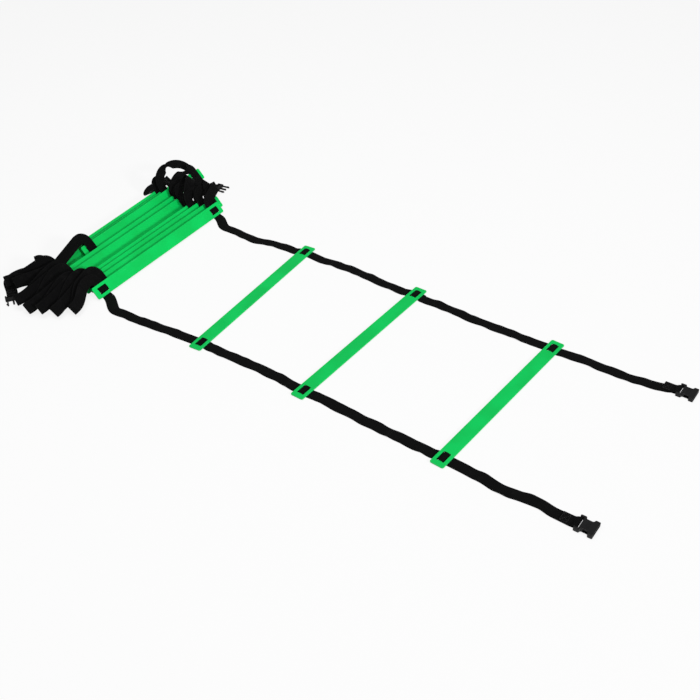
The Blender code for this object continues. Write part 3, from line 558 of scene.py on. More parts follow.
def acetalShade(tree, look):
    grain = placeGroup(tree, mouldedGrain, {"Vector": objectPlace(tree), **look["grain"]})
    colour = mixed(tree, grain["Rubbed"] * look["rubbedShare"], look["colour"], look["rubbed"])
    return colour, grain["Unevenness"].remap(*unevenRange, *look["roughness"]), grain["Height"]


def threadShade(tree, look):
    fibres = noise(tree, objectPlace(tree), *look["fibres"])
    colour = mixed(tree, fibres, look["colour"], look["light"])
    return colour, fibres.remap(*look["fibreRange"], *look["roughness"]), fibres


def addMaterial(name, look, shade):
    material, tree, shader = newMaterial(name)
    colour, roughness, height = shade(tree, look)
    strength, depth = look["bump"]
    bump = addNode(tree, "Bump")
    fill(tree, bump, {"Strength": strength, "Distance": depth, "Height": height})
    fill(tree, shader, {
        "Base Color": colour, "Roughness": roughness, "Normal": bump.outputs["Normal"],
        "Specular IOR Level": look["specular"], "Sheen Weight": look.get("sheen", 0.0),
    })
    return material


rungGreen = addMaterial("rungGreen", greenPlastic, plasticShade)
webbingBlack = addMaterial("webbingBlack", blackWebbing, webbingShade)
buckleBlack = addMaterial("buckleBlack", blackAcetal, acetalShade)
threadBlack = addMaterial("threadBlack", sewingThread, threadShade)
print("materials ready")


# rungs

def rungMesh(name):
    # rounded rectangle with two slots near each end
    corners = [(halfRung, -halfLength), (halfRung, halfLength),
               (-halfRung, halfLength), (-halfRung, -halfLength)]
    outline = roundCorners(corners, rungPlate["cornerRadius"], rungPlate["cornerSteps"])
    slotHalf = halfWidth + rungPlate["slotClearance"]
    reach = rungPlate["slotWidth"] / 2
    corners = [(-reach, -slotHalf), (-reach, slotHalf), (reach, slotHalf), (reach, -slotHalf)]
    slot = roundCorners(corners, rungPlate["slotRadius"], rungPlate["slotSteps"])
    holes = [slot + (across * (halfBar + reach), rail * halfSpacing)
             for rail in (-1, 1) for across in (-1, 1)]
    return softPlate(name, outline, holes, -halfPlate, halfPlate, rungPlate["edgeRadius"],
                     rungPlate["slotEdge"], rungPlate["supportInset"])


def addRung(name, node, body, place):
    mesh = rungMesh(name)
    flat = np.zeros(3 * len(mesh.vertices), np.float32)
    mesh.vertices.foreach_get("co", flat)
    addUvs(mesh, "rungMap", flat.reshape(-1, 3)[:, :2])
    turn = Matrix(place["turn"].tolist()).to_4x4()
    turn.translation = Vector(place["centre"] + shift)
    mesh.transform(turn)
    piece = addPiece(name, mesh, body, rungGreen)
    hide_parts(node)


for number, place in enumerate(reversed(folded), 1):
    addRung(f"foldedRung{number:02d}", f"rung_{number:02d}", "folded_stack", place)
for number, place in enumerate(laid, len(folded) + 1):
    addRung(f"laidRung{number:02d}", f"rung_{number:02d}", f"laid_rung_{number:02d}", place)
print("rungs done")


# buckles

buckleBar = {"radius": 0.002, "sides": 24}
socketHalf = {
    "thickness": 0.009, "earWidth": 0.035, "waistWidth": 0.025, "mouthWidth": 0.036,
    "earLength": 0.0125, "waistLength": 0.012, "mouthLength": 0.011, "windowLength": 0.0030,
    "wall": 0.0017, "socketWidth": 0.031, "socketDepth": 0.020, "bevel": 0.0008,
    "rim": {"radii": (0.0008, 0.0014, 0.0020, 0.0016, 0.0020, 0.0030, 0.0018, 0.0016),
            "cornerSteps": 6, "edge": 0.0010, "edgeSteps": 5},
    "ribWidth": 0.0011, "ribHeight": 0.00028, "ribPitch": 0.0026, "ribs": 3, "ribSpan": 0.62,
    "ribRound": 0.45, "ribSteps": 4,
}
latchHalf = {
    "thickness": 0.0070, "earWidth": 0.034, "crossbarLength": 0.0086, "armLength": 0.021,
    "armWidth": 0.0032, "tipLength": 0.008, "tipWidth": 0.0058, "spread": 0.0285,
    "tongueWidth": 0.0042, "tongueLength": 0.018,
    "rim": {"radii": (0.0008, 0.0013, 0.0018, 0.0016), "cornerSteps": 6, "edge": 0.0009,
            "edgeSteps": 5},
    "armRim": {"radii": (0.0007, 0.0006, 0.0009, 0.0012, 0.0009, 0.0012, 0.0012, 0.0010, 0.0016),
               "cornerSteps": 5, "edge": 0.0005, "edgeSteps": 3},
}
rimSupport = 0.2    # how far inside a rounded edge its support line lies, in edge radii
barRadius = buckleBar["radius"]
windowHalf = halfWidth + socketHalf["bevel"]
windowBack = -barRadius - socketHalf["bevel"]
windowEnd = barRadius + socketHalf["windowLength"]


def prismMesh(name, outline, bottom, top):
    # plain prism for cutting
    flat = np.asarray(outline, float)
    rings = [np.column_stack((flat, np.full(len(flat), level))) for level in (bottom, top)]
    return tubeMesh(name, np.stack(rings))


def boxOutline(lowX, highX, halfY):
    return [(lowX, -halfY), (highX, -halfY), (highX, halfY), (lowX, halfY)]


def softBlock(name, upper, halfHeight, rim):
    # a soft edged plate from the upper half of its outline, listed from back to front
    outline = [(x, -y) for x, y in upper] + upper[::-1]
    outline = roundCorners(outline, rim["radii"] + rim["radii"][::-1], rim["cornerSteps"])
    edge = rim["edge"]
    return softPlate(name, outline, [], -halfHeight, halfHeight, edge, 0, edge * rimSupport,
                     rim["edgeSteps"])


def barMesh(name):
    # round bar across the window
    turn = np.linspace(0, 2 * math.pi, buckleBar["sides"], endpoint=False)
    x, z = barRadius * np.cos(turn), barRadius * np.sin(turn)
    reach = windowHalf + socketHalf["bevel"]
    ends = [np.column_stack((x, np.full(len(x), y), z)) for y in (-reach, reach)]
    return tubeMesh(name, np.stack(ends))


def socketParts(name, s, halfHeight):
    # upper half of the outline, then the cutters and the bar
    earEnd = windowBack + s["earLength"]
    waistEnd = earEnd + s["waistLength"]
    mouthEnd = waistEnd + s["mouthLength"]
    ear, waist, mouth = s["earWidth"] / 2, s["waistWidth"] / 2, s["mouthWidth"] / 2
    upper = [(windowEnd, windowHalf), (windowBack, windowHalf), (windowBack, ear),
             (earEnd - barRadius, ear), (earEnd, waist), (waistEnd, waist),
             (waistEnd + barRadius, mouth), (mouthEnd, mouth)]
    socketEnds = mouthEnd - s["socketDepth"], mouthEnd + s["thickness"]
    socket = boxOutline(*socketEnds, s["socketWidth"] / 2)
    roof = halfHeight - s["wall"]
    tools = [(prismMesh(name + "Socket", socket, -roof, roof), -1), (barMesh(name + "Bar"), 1)]
    first = waistEnd - s["ribPitch"] * (s["ribs"] - 1) - s["ribWidth"] * 2
    for middle in (-halfHeight, halfHeight):
        for number in range(s["ribs"]):
            x = first + number * s["ribPitch"]
            outline = boxOutline(x, x + s["ribWidth"], waist * s["ribSpan"])
            outline = roundCorners(outline, s["ribWidth"] * s["ribRound"], s["ribSteps"])
            rib = prismMesh(name + "Rib", outline, middle - s["ribHeight"], middle + s["ribHeight"])
            tools.append((rib, -1))
    return upper, tools


def latchParts(name, s, halfHeight):
    # upper half of the outline, then the arms with the tongue, and the bar
    crossEnd = windowEnd + s["crossbarLength"]
    ear = s["earWidth"] / 2
    upper = [(windowEnd, windowHalf), (windowBack, windowHalf), (windowBack, ear), (crossEnd, ear)]
    root = crossEnd - s["crossbarLength"] / 2
    armEnd = crossEnd + s["armLength"]
    hook, taper = armEnd - s["tipLength"], armEnd - s["tipLength"] / 3
    outer = s["spread"] / 2
    inner = outer - s["armWidth"]
    tongue = s["tongueWidth"] / 2
    arms = [(root, outer), (hook, outer), (hook, inner + s["tipWidth"]), (taper, outer),
            (armEnd, inner + s["armWidth"] / 2), (taper, inner), (crossEnd, inner),
            (crossEnd, tongue), (crossEnd + s["tongueLength"], tongue)]
    arms = softBlock(name + "Arms", arms, halfHeight - socketHalf["wall"], s["armRim"])
    return upper, [(arms, 1), (barMesh(name + "Bar"), 1)]


def settle(mesh, bar, height, heading):
    # from round a bar's middle to its place in the frame
    spot = Matrix.Translation((bar[0] + shift[0], bar[1] + shift[1], height + shift[2]))
    mesh.transform(spot @ Matrix.Rotation(heading, 4, "Z"))


def addBuckle(name, half, parts, bar, heading, body):
    halfHeight = half["thickness"] / 2
    upper, tools = parts(name, half, halfHeight)
    mesh = carve(name, softBlock(name, upper, halfHeight, half["rim"]), tools)
    settle(mesh, bar, halfHeight, heading)
    piece = addPiece(name, mesh, body, buckleBlack)
    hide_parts(body + "_buckle")


# webbing that is folded beside the stack

# Six numbers: a loop down to a fold on the floor, its place along X and out from the slots,
# lift and gape in shares of the loop reach, then heading and lean in degrees. Two numbers:
# a standing loop, its turn in degrees and length share. One number: the rise of an arch.
loops = {
    "near": (
        (0.09, 0.5167, 0.00, 0.09, 104, 45), (-0.09, 0.6967, 0.00, 0.10, 98, 38),
        (-0.28, 0.8067, 0.03, 0.08, 94, 50), (-0.48, 0.8667, 0.00, 0.10, 88, 38),
        (-0.71, 0.8667, 0.05, 0.08, 80, 52), (-1.06, 0.5867, 0.06, 0.09, 74, 50),
        (-1.25, 0.6167, 0.03, 0.08, 68, 50), (66, 0.10),
    ),
    "far": (
        (74, 0.20), (60, 0.22), (-0.55, 0.6367, 0.04, 0.08, 92, 50), (62, 0.26),
        (-0.90, 0.6667, 0.05, 0.08, 86, 50), (0.17,), (0.38,),
        (-1.43, 0.4067, 0.00, 0.08, 70, 45),
    ),
}
freeEnds = {
    "near": {"route": ((-1.28, 0.0267), (-1.47, 0.2067)),
             "buckle": (-1.02, 0.7467), "lead": (0.42, 0.28)},
    "far": {"route": ((-1.56, 0.0067), (-1.66, 0.2867), (-1.44, 0.5967)),
            "buckle": (-0.68, 0.80), "lead": (0.32, 0.05)},
}
fold = {
    "bendRadius": 0.016, "bendSteps": 10, "runSteps": 24, "runDip": 14.0, "legSteps": 26,
    "reachShare": 0.38, "foldSteps": 11, "archSteps": 59, "floorMargin": 0.0030,
    "tailRun": 0.038, "tailSteps": 14, "footRun": 0.062, "leadStations": 8,
}
# The loop round a buckle's bar. After its sewn length and its steps, where the webbing lies
# flat, drops back, rests and is approached, as distances from the bar in turn radii
sewnLoop = {
    "sewnBack": 0.032, "turnSteps": 14, "flatFrom": 5, "flatTo": 4,
    "dropAt": 1.5, "layerAt": 3, "restAt": 4, "approach": 8, "calmAt": 6,
}
turnRadius = barRadius + webbing["clearance"] + halfWebbing


def bendVectors(place, side, turn):
    # heading and upper edge of webbing that has turned outwards in a rung's plane
    heading = place["u"] * np.cos(turn) + side * place["v"] * np.sin(turn)
    edge = place["u"] * np.sin(turn) - side * place["v"] * np.cos(turn)
    return heading, edge


def bendMove(place, side, turn):
    # how far that turn carries the webbing's middle
    radius = fold["bendRadius"]
    return radius * np.sin(turn) * place["u"] + side * radius * (1 - np.cos(turn)) * place["v"]


def legPath(side, spot, place, turn, target, forward, edge):
    # a bend in the rung's plane, a dipping run where the rung lies far in, a curve to the fold
    inside = halfSpacing - side * spot[1]
    farIn = inside > webbing["width"]
    if farIn:
        turn = turn + math.radians(fold["runDip"])
    angles = turn * evenSteps(fold["bendSteps"])
    centres = spot + bendMove(place, side, angles)
    halves = -side * halfWidth * bendVectors(place, side, angles)[1]
    heading, firstEdge = bendVectors(place, side, turn)
    if farIn:
        run = inside * evenSteps(fold["runSteps"])[1:]
        centres = np.vstack((centres, centres[-1] + run * heading))
        halves = np.vstack((halves, np.tile(halves[-1], (len(run), 1))))
    reach = np.linalg.norm(target - centres[-1]) * fold["reachShare"]
    controls = (centres[-1], centres[-1] + reach * heading, target - reach * forward, target)
    curve, headings = cubicCurve(controls, fold["legSteps"])
    blend = smoothStep(evenSteps(fold["legSteps"]))
    across = acrossRoute(-side * ((1 - blend) * firstEdge + blend * edge), headings)
    return np.vstack((centres, curve[1:])), np.vstack((halves, across[1:]))


def foldedPath(side, turn, foldPlace, outPlace, outSpot, homePlace, homeSpot):
    # out to the fold, half a turn round it, and home
    middle, forward, edge, normal, gape = foldPlace
    outLeg = legPath(side, outSpot, outPlace, turn, middle + normal * gape / 2, forward, edge)
    homeLeg = legPath(side, homeSpot, homePlace, turn, middle - normal * gape / 2, forward, edge)
    angles = math.pi * evenSteps(fold["foldSteps"] + 1)[1:-1]
    centres = middle + gape / 2 * (normal * np.cos(angles) + forward * np.sin(angles))
    halves = np.tile(-side * halfWidth * edge, (len(centres), 1))
    return (np.vstack((outLeg[0], centres, homeLeg[0][::-1])),
            np.vstack((outLeg[1], halves, homeLeg[1][::-1])))


def floorFold(side, numbers):
    # a fold that comes down to the floor beside the stack
    x, y, lift, gape, heading, lean = numbers
    heading, lean, gape = math.radians(heading), math.radians(lean), gape * loopReach
    forward = np.array((-math.cos(heading), side * math.sin(heading), 0))
    back = np.array((-math.sin(heading), -side * math.cos(heading), 0))
    up = np.array((0, 0, 1))
    edge = back * math.cos(lean) + up * math.sin(lean)
    normal = up * math.cos(lean) - back * math.sin(lean)
    rest = fold["floorMargin"] + halfWidth * math.sin(lean) + gape / 2 * math.cos(lean)
    middle = np.array((*besideSlots(side, (x, y)), rest + loopReach * lift))
    return middle, forward, edge, normal, gape


def standingFold(side, turn, length, outPlace, outSpot, homePlace, homeSpot):
    # the fold stands between the planes of its two rungs
    ends = [spot + bendMove(place, side, turn) + length * bendVectors(place, side, turn)[0]
            for place, spot in ((outPlace, outSpot), (homePlace, homeSpot))]
    forward, edge = bendVectors(homePlace, side, turn)
    gape = float(np.dot(ends[0] - ends[1], homePlace["w"]))
    return (ends[0] + ends[1]) / 2, forward, edge, homePlace["w"], gape


def loopPath(side, numbers, outPlace, homePlace):
    # the loop between two neighbouring folded rungs
    outSpot = pointOn(outPlace, exitReach, side * halfSpacing, underRung)
    homeSpot = pointOn(homePlace, exitReach, side * halfSpacing, overWebbing)
    places = (outPlace, outSpot, homePlace, homeSpot)
    if len(numbers) == 1:
        outRise, homeRise = (loopReach * numbers[0] * place["u"] for place in (outPlace, homePlace))
        controls = (outSpot, outSpot + outRise, homeSpot + homeRise, homeSpot)
        curve, headings = cubicCurve(controls, fold["archSteps"])
        return curve, acrossRoute(np.tile(outPlace["v"], (len(curve), 1)), headings)
    if len(numbers) == 2:
        turn = math.radians(numbers[0])
        standing = standingFold(side, turn, loopReach * numbers[1], *places)
        return foldedPath(side, turn, standing, *places)
    return foldedPath(side, math.pi / 2, floorFold(side, numbers), *places)


def localPath(place, side, pairs):
    # stations on a rung's slot line, from (u, w) pairs
    pairs = np.asarray(pairs, float)
    centres = (place["centre"] + side * halfSpacing * place["v"]
               + pairs[:, :1] * place["u"] + pairs[:, 1:] * place["w"])
    return centres, np.tile(halfWidth * place["v"], (len(pairs), 1))


def slotClimb(sign):
    # from under the rung up through a slot to the height over its bar
    low = slotOuter - webbing["clearance"] * 2
    high = halfBar + webbing["clearance"] * 2
    share = evenSteps(webbing["climbSteps"])
    rise = underRung + (overBar - underRung) * smoothStep(share)
    return np.hstack((sign * (low + (high - low) * share), rise))


def plainThread(sign):
    # under the rung, over its bar and under it again, from its front (-1) or back (1) edge
    return np.vstack(([(sign * halfRung, underRung), (sign * slotOuter, underRung)],
                      slotClimb(sign), slotClimb(-sign)[::-1],
                      [(-sign * slotOuter, underRung), (-sign * halfRung, underRung)]))


def wrappedThread():
    # in over the rung's face, round its lower edge and through both slots
    angles = math.pi * evenSteps(webbing["wrapSteps"])[1:-1]
    around = np.hstack((-np.sin(angles), np.cos(angles)))
    return np.vstack(([(halfRung, overWebbing), (-halfRung, overWebbing)],
                      (-halfRung, wrapMiddle) + wrapRadius * around, plainThread(-1)))


def loopedEnd(bar, heading, barHeight):
    # under the buckle's bar, round it and back along itself, sewn down
    angles = math.pi * (evenSteps(sewnLoop["turnSteps"]) - 0.5)
    secondLayer = halfWebbing + layerPitch
    pairs = np.vstack((
        (-sewnLoop["flatFrom"] * turnRadius, halfWebbing),
        (-sewnLoop["flatTo"] * turnRadius, halfWebbing),
        (0, barHeight) + turnRadius * np.hstack((np.cos(angles), np.sin(angles))),
        (-sewnLoop["dropAt"] * turnRadius, barHeight + turnRadius / 2),
        (-sewnLoop["layerAt"] * turnRadius, secondLayer + halfWebbing),
        (-sewnLoop["restAt"] * turnRadius, secondLayer),
        (-sewnLoop["sewnBack"], secondLayer),
    ))
    forward, aside = (math.cos(heading), math.sin(heading)), (-math.sin(heading), math.cos(heading))
    centres = np.column_stack((bar + pairs[:, :1] * forward, pairs[:, 1]))
    return centres, np.tile(halfWidth * np.array((*aside, 0)), (len(centres), 1))


def besideSlots(side, share):
    # a place on the floor beside the stack
    return np.array((loopReach * share[0], side * (halfSpacing + loopReach * share[1])))


def malePlace(sideName):
    # bar of the buckle at a free end, and the straight stretch that leads to it
    side, end = sides[sideName], freeEnds[sideName]
    return besideSlots(side, end["buckle"]), np.array(end["lead"]) * (1, side) * loopReach


def tailPath(sideName, spot, place, bar, lead):
    # the free end: down to the floor and along its route to the buckle
    back = unit(place["u"][:2])
    route = [spot[:2], spot[:2] + back * fold["bendRadius"] / 2]
    route += [besideSlots(sides[sideName], share) for share in freeEnds[sideName]["route"]]
    route += [bar - lead, bar - unit(lead) * sewnLoop["approach"] * turnRadius]
    line = smoothRoute(route, fold["tailSteps"] * len(route))
    settled = smoothStep(walkedAlong(line) / fold["tailRun"])
    height = halfWebbing + (spot[2] - halfWebbing) * (1 - settled)
    tangent = unit(np.gradient(line, axis=0))
    halves = halfWidth * np.column_stack((tangent[:, 1], -tangent[:, 0], np.zeros(len(line))))
    halves[0] = halfWidth * place["v"]
    return np.column_stack((line, height)), halves


def joinPaths(parts):
    return np.vstack([part[0] for part in parts]), np.vstack([part[1] for part in parts])


def stackFoot(sideName):
    # where the webbing passes under the front rung's lower edge
    return pointOn(folded[0], -halfRung, sides[sideName] * halfSpacing, underRung)


def easeFromFoot(sideName, x, y):
    # the webbing drifts from the front rung's slot line to its own line on the floor
    foot = stackFoot(sideName)
    share = smoothStep((x - foot[0]) / fold["footRun"])
    return foot[1] + (y - foot[1]) * share


def stackPath(sideName, startX, startY):
    # all the webbing of one side that is folded with the stack, from the front rung to its free end
    side = sides[sideName]
    xs = np.linspace(startX, stackFoot(sideName)[0] + wrapRadius * 2, fold["leadStations"])
    lead = np.column_stack((xs, easeFromFoot(sideName, xs, startY), np.full(len(xs), halfWebbing)))
    parts = [(lead, np.tile((0, halfWidth, 0), (len(lead), 1))),
             localPath(folded[0], side, plainThread(-1))]
    for numbers, outPlace, homePlace in zip(loops[sideName], folded, folded[1:]):
        parts.append(loopPath(side, numbers, outPlace, homePlace))
        parts.append(localPath(homePlace, side, wrappedThread()))
    last = pointOn(folded[-1], exitReach, side * halfSpacing, underRung)
    bar, lead = malePlace(sideName)
    parts.append(tailPath(sideName, last, folded[-1], bar, lead))
    centres, halves = loopedEnd(bar, math.atan2(lead[1], lead[0]), latchHalf["thickness"] / 2)
    parts.append((centres, -halves))
    return joinPaths(parts)


# webbing laid out flat

# Sideways place in each gap, in shares of the webbing's width, from crease to crease
sways = {
    "near": ((-0.68, -0.72, -0.60, -0.36, -0.12), (0.04, 0.08, 0.16, 0.16, 0.0),
             (0.04, -0.08, -0.20, -0.24, -0.28)),
    "far": ((-0.84, -0.72, -0.88, -0.36, -0.24), (-0.08, 0.12, 0.08, -0.10, -0.16),
            (-0.16, -0.16, -0.32, -0.28, -0.28)),
}
endSways = {
    "near": (-0.32, -0.46, -0.62, -0.34, -0.50, -0.54),
    "far": (-0.24, -0.16, -0.20, -0.18, 0.06, 0.48),
}
endLengths = {"near": 0.2573, "far": 0.2745}
# Each edge lifts by two waves on a steady part; the slow wave moves the lift from edge to edge
ripple = {
    "lift": 0.0024, "calmEnd": 0.022, "wavelengths": (0.047, 0.031, 0.083), "stations": 90,
    "phases": {"near": (0.4, 2.1, 1.2, 3.3), "far": (1.9, 0.7, 2.8, 0.2)}, "sideways": 0.0007,
    "swell": (0.55, 0.45), "swellSum": 1.1, "shares": (0.5, 0.3, 0.2), "lowerPitch": (1.17, 0.9),
    "driftPitch": 0.8,
}


def gapRoute(sideName, shares, low, high):
    # smooth centre line between two creases
    line = sides[sideName] * halfSpacing
    knots = np.linspace(low, high, len(shares))
    knots = np.column_stack((knots, line + webbing["width"] * np.array(shares)))
    return smoothRoute(knots, ripple["stations"])


def rippledFlat(sideName, route, low, high):
    # flat webbing whose two edges lift a little, each by its own pair of waves, calm at its ends
    x = route[:, 0]
    calm = smoothStep((x - low) / ripple["calmEnd"]) * smoothStep((high - x) / ripple["calmEnd"])
    wide, tight, slow = (2 * math.pi / length for length in ripple["wavelengths"])
    a, b, c, d = ripple["phases"][sideName]
    steady, *shares = ripple["shares"]

    def waves(pitches, phases):
        return steady + sum(share * np.sin(pitch * x + phase)
                            for share, pitch, phase in zip(shares, pitches, phases))

    swell = ripple["swell"][0] + ripple["swell"][1] * np.sin(slow * x + c)
    upper = calm * ripple["lift"] * swell * waves((wide, tight), (a, b))
    lower = waves(np.array((wide, tight)) * ripple["lowerPitch"], (d, c))
    lower = calm * ripple["lift"] * (ripple["swellSum"] - swell) * lower
    drift = calm * ripple["sideways"] * np.sin(wide * ripple["driftPitch"] * x + b)
    centres = np.column_stack((x, route[:, 1] + drift, halfWebbing + (upper + lower) / 2))
    rise = (upper - lower) / 2
    halves = np.column_stack((np.zeros(len(x)), np.sqrt(halfWidth ** 2 - rise ** 2), rise))
    return centres, halves


def flatPath(sideName):
    # from the first crease by the stack to the socket buckle
    side = sides[sideName]
    parts = []
    for order, (shares, (low, _, high)) in enumerate(zip(sways[sideName], creases)):
        route = gapRoute(sideName, shares, low, high)
        if order == 0:
            route[:, 1] = easeFromFoot(sideName, route[:, 0], route[:, 1])
        parts.append(rippledFlat(sideName, route, low, high))
        parts.append(localPath(laid[order], side, plainThread(1)))
    barX = endCrease + endLengths[sideName] - hingeOffset(laid[-1])
    bar = (barX, side * halfSpacing + webbing["width"] * endSways[sideName][-1])
    route = gapRoute(sideName, endSways[sideName], endCrease, barX)
    route = route[route[:, 0] < barX - sewnLoop["approach"] * turnRadius]
    parts.append(rippledFlat(sideName, route, endCrease, barX - sewnLoop["calmAt"] * turnRadius))
    parts.append(loopedEnd(bar, 0, socketHalf["thickness"] / 2))
    return (*joinPaths(parts), bar)


def resample(values, places, wanted):
    return np.column_stack([np.interp(wanted, places, values[:, axis]) for axis in range(3)])


def turnDegrees(directions):
    # angle between each direction and the one before it
    cosines = np.sum(directions[1:] * directions[:-1], axis=1)
    return np.degrees(np.arccos(np.clip(cosines, -1, 1)))


def roundedPath(centres, halves):
    # finely resampled and rounded, then stations set closer where the webbing bends or twists
    walked = walkedAlong(centres)
    keep = np.concatenate(((True,), np.diff(walked) > webbing["leastStep"]))
    centres, halves, walked = centres[keep], halves[keep], walked[keep]
    even = np.linspace(0, walked[-1], int(walked[-1] / webbing["fineStep"]) + 1)
    centres, halves = resample(centres, walked, even), resample(halves, walked, even)
    for _ in range(webbing["smoothPasses"]):
        for values in (centres, halves):
            values[1:-1] = (values[:-2] + 2 * values[1:-1] + values[2:]) / 4
    along = unit(np.gradient(centres, axis=0))
    halves = acrossRoute(halves, along)
    effort = np.diff(even) / webbing["stationStep"]
    effort = effort + (turnDegrees(along) + turnDegrees(unit(halves))) / webbing["stationTurn"]
    effort = np.concatenate(((0,), np.cumsum(effort)))
    chosen = np.interp(np.linspace(0, effort[-1], int(effort[-1]) + 1), effort, even)
    centres, halves, along = (resample(values, even, chosen) for values in (centres, halves, along))
    halves = acrossRoute(halves, along)
    return centres, halves, unit(np.cross(along, halves)), chosen


# Shares of the half width and half thickness
webbingRim = {
    "columns": 11, "faceShare": 0.985, "rimHeight": 0.55,
    "selvedge": 0.84, "grooveDip": 0.16, "grooveWidth": 0.06,
}


def webbingSection():
    # (across, height) shares round the section: flat faces, a shallow groove inside each selvedge
    rim = webbingRim
    face = np.linspace(-rim["faceShare"], rim["faceShare"], rim["columns"])
    across = np.sort(np.concatenate((face, (rim["selvedge"], -rim["selvedge"]))))
    groove = np.exp(-((np.abs(across) - rim["selvedge"]) / rim["grooveWidth"]) ** 2)
    height = 1 - rim["grooveDip"] * groove
    edge = np.array(((1.0, rim["rimHeight"]), (1.0, -rim["rimHeight"])))
    top = np.stack((across, height), axis=1)
    bottom = np.stack((across[::-1], -height[::-1]), axis=1)
    return np.vstack((top, edge, bottom, -edge))


section = webbingSection()


def addWebbing(name, path, first, last, nodes, body, bend=None):
    # section carried along the path's stations; a piece given a bend, its crease's other body, x
    # and reach, is left unattached, with its place baked into its mesh
    centres, halves, normals, walked = path
    cut = slice(first, last + 1)
    rings = (centres[cut][:, None] + section[None, :, :1] * halves[cut][:, None]
             + section[None, :, 1:] * halfWebbing * normals[cut][:, None])
    uvs = np.empty(rings.shape[:2] + (2,))
    uvs[..., 0] = section[None, :, 0] * halfWidth
    uvs[..., 1] = walked[cut][:, None]
    mesh = tubeMesh(name, rings + shift)
    addUvs(mesh, "weaveMap", uvs.reshape(-1, 2))
    piece = addPiece(name, mesh, None if bend else body, webbingBlack)
    if bend:
        other, x, reach = bend
        x, y = x + shift[0], float(np.mean(centres[cut][:, 1])) + shift[1]
        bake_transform(piece)
    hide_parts(*nodes)
    return piece


# Half the length of webbing about a crease, and where the free end's own piece begins
bendReach = {"crest": 0.010, "lift": 0.009}
endCut = 0.05


def stationBeyond(xs, start, x):
    # first station past the given one that lies beyond x
    return start + int(np.argmax(xs[start:] > x))


def addSide(sideName):
    # one side's webbing, cut into pieces at its joints; gives its socket's bar
    startX, _, firstHigh = creases[0]
    startY = gapRoute(sideName, sways[sideName][0], startX, firstHigh)[0][1]
    stackCentres, stackHalves = stackPath(sideName, startX, startY)
    flatCentres, flatHalves, bar = flatPath(sideName)
    path = roundedPath(np.vstack((stackCentres[::-1], flatCentres[1:])),
                       np.vstack((stackHalves[::-1], flatHalves[1:])))
    xs = path[0][:, 0]
    stackEnd = int(np.argmax(path[3] > walkedAlong(stackCentres)[-1]))
    prefix, endBody = sideName + "Webbing", sideName + "_end"
    cut = stationBeyond(xs, stackEnd, (creases[0][0] + creases[0][1]) / 2)
    addWebbing(prefix + "Stack", path, 0, cut, [sideName + "_folded_webbing"],
               "folded_stack", ("span_09_10_a", startX, bendReach["lift"]))
    for order, (low, middle, high) in enumerate(creases):
        number = len(folded) + order + 1
        gap, laidBody = f"{number - 1:02d}_{number:02d}_", f"laid_rung_{number:02d}"
        span, thread = "span_" + gap, [f"{sideName}_thread_{number:02d}"]
        flat = [f"{sideName}_webbing_{gap}{half}" for half in "ab"]
        if order + 1 < len(creases):
            nextLow, nextMiddle, _ = creases[order + 1]
            nextCut, nextBody = (nextLow + nextMiddle) / 2, f"span_{number:02d}_{number + 1:02d}_a"
        else:
            nextLow, nextCut, nextBody = endCrease, endCrease + endCut, endBody
        for label, end, nodes, body, other, x, kind in (
            ("Crest", (middle + high) / 2, flat, span + "a", span + "b", middle, "crest"),
            ("Climb", laid[order]["centre"][0], thread, span + "b", laidBody, high, "lift"),
            ("Leave", nextCut, thread, laidBody, nextBody, nextLow, "lift"),
        ):
            start, cut = cut, stationBeyond(xs, stackEnd, end)
            addWebbing(f"{prefix}{label}{number:02d}", path, start, cut, nodes,
                       body, (other, x, bendReach[kind]))
    addWebbing(prefix + "End", path, cut, len(xs) - 1, [endBody + "_webbing"], endBody)
    print(f"{sideName} webbing: {path[3][-1]:.3f} m in {len(xs)} stations")
    return bar


femaleBars = {sideName: addSide(sideName) for sideName in sides}


# box stitches on the sewn back ends

stitch = {
    "length": 0.0026, "gap": 0.0007, "thickness": 0.00034, "inset": 0.0035, "boxLength": 0.0135,
    "start": 0.0010, "proud": 0.00010, "rings": 5, "columns": 6, "poleTolerance": 1e-7,
    "sharpDegrees": 80,
}


def stitchLines(boxLength, boxWidth):
    # rectangle and its two diagonals
    x, y = boxLength / 2, boxWidth / 2
    return [((-x, -y), (x, -y)), ((x, -y), (x, y)), ((x, y), (-x, y)), ((-x, y), (-x, -y)),
            ((-x, -y), (x, y)), ((-x, y), (x, -y))]


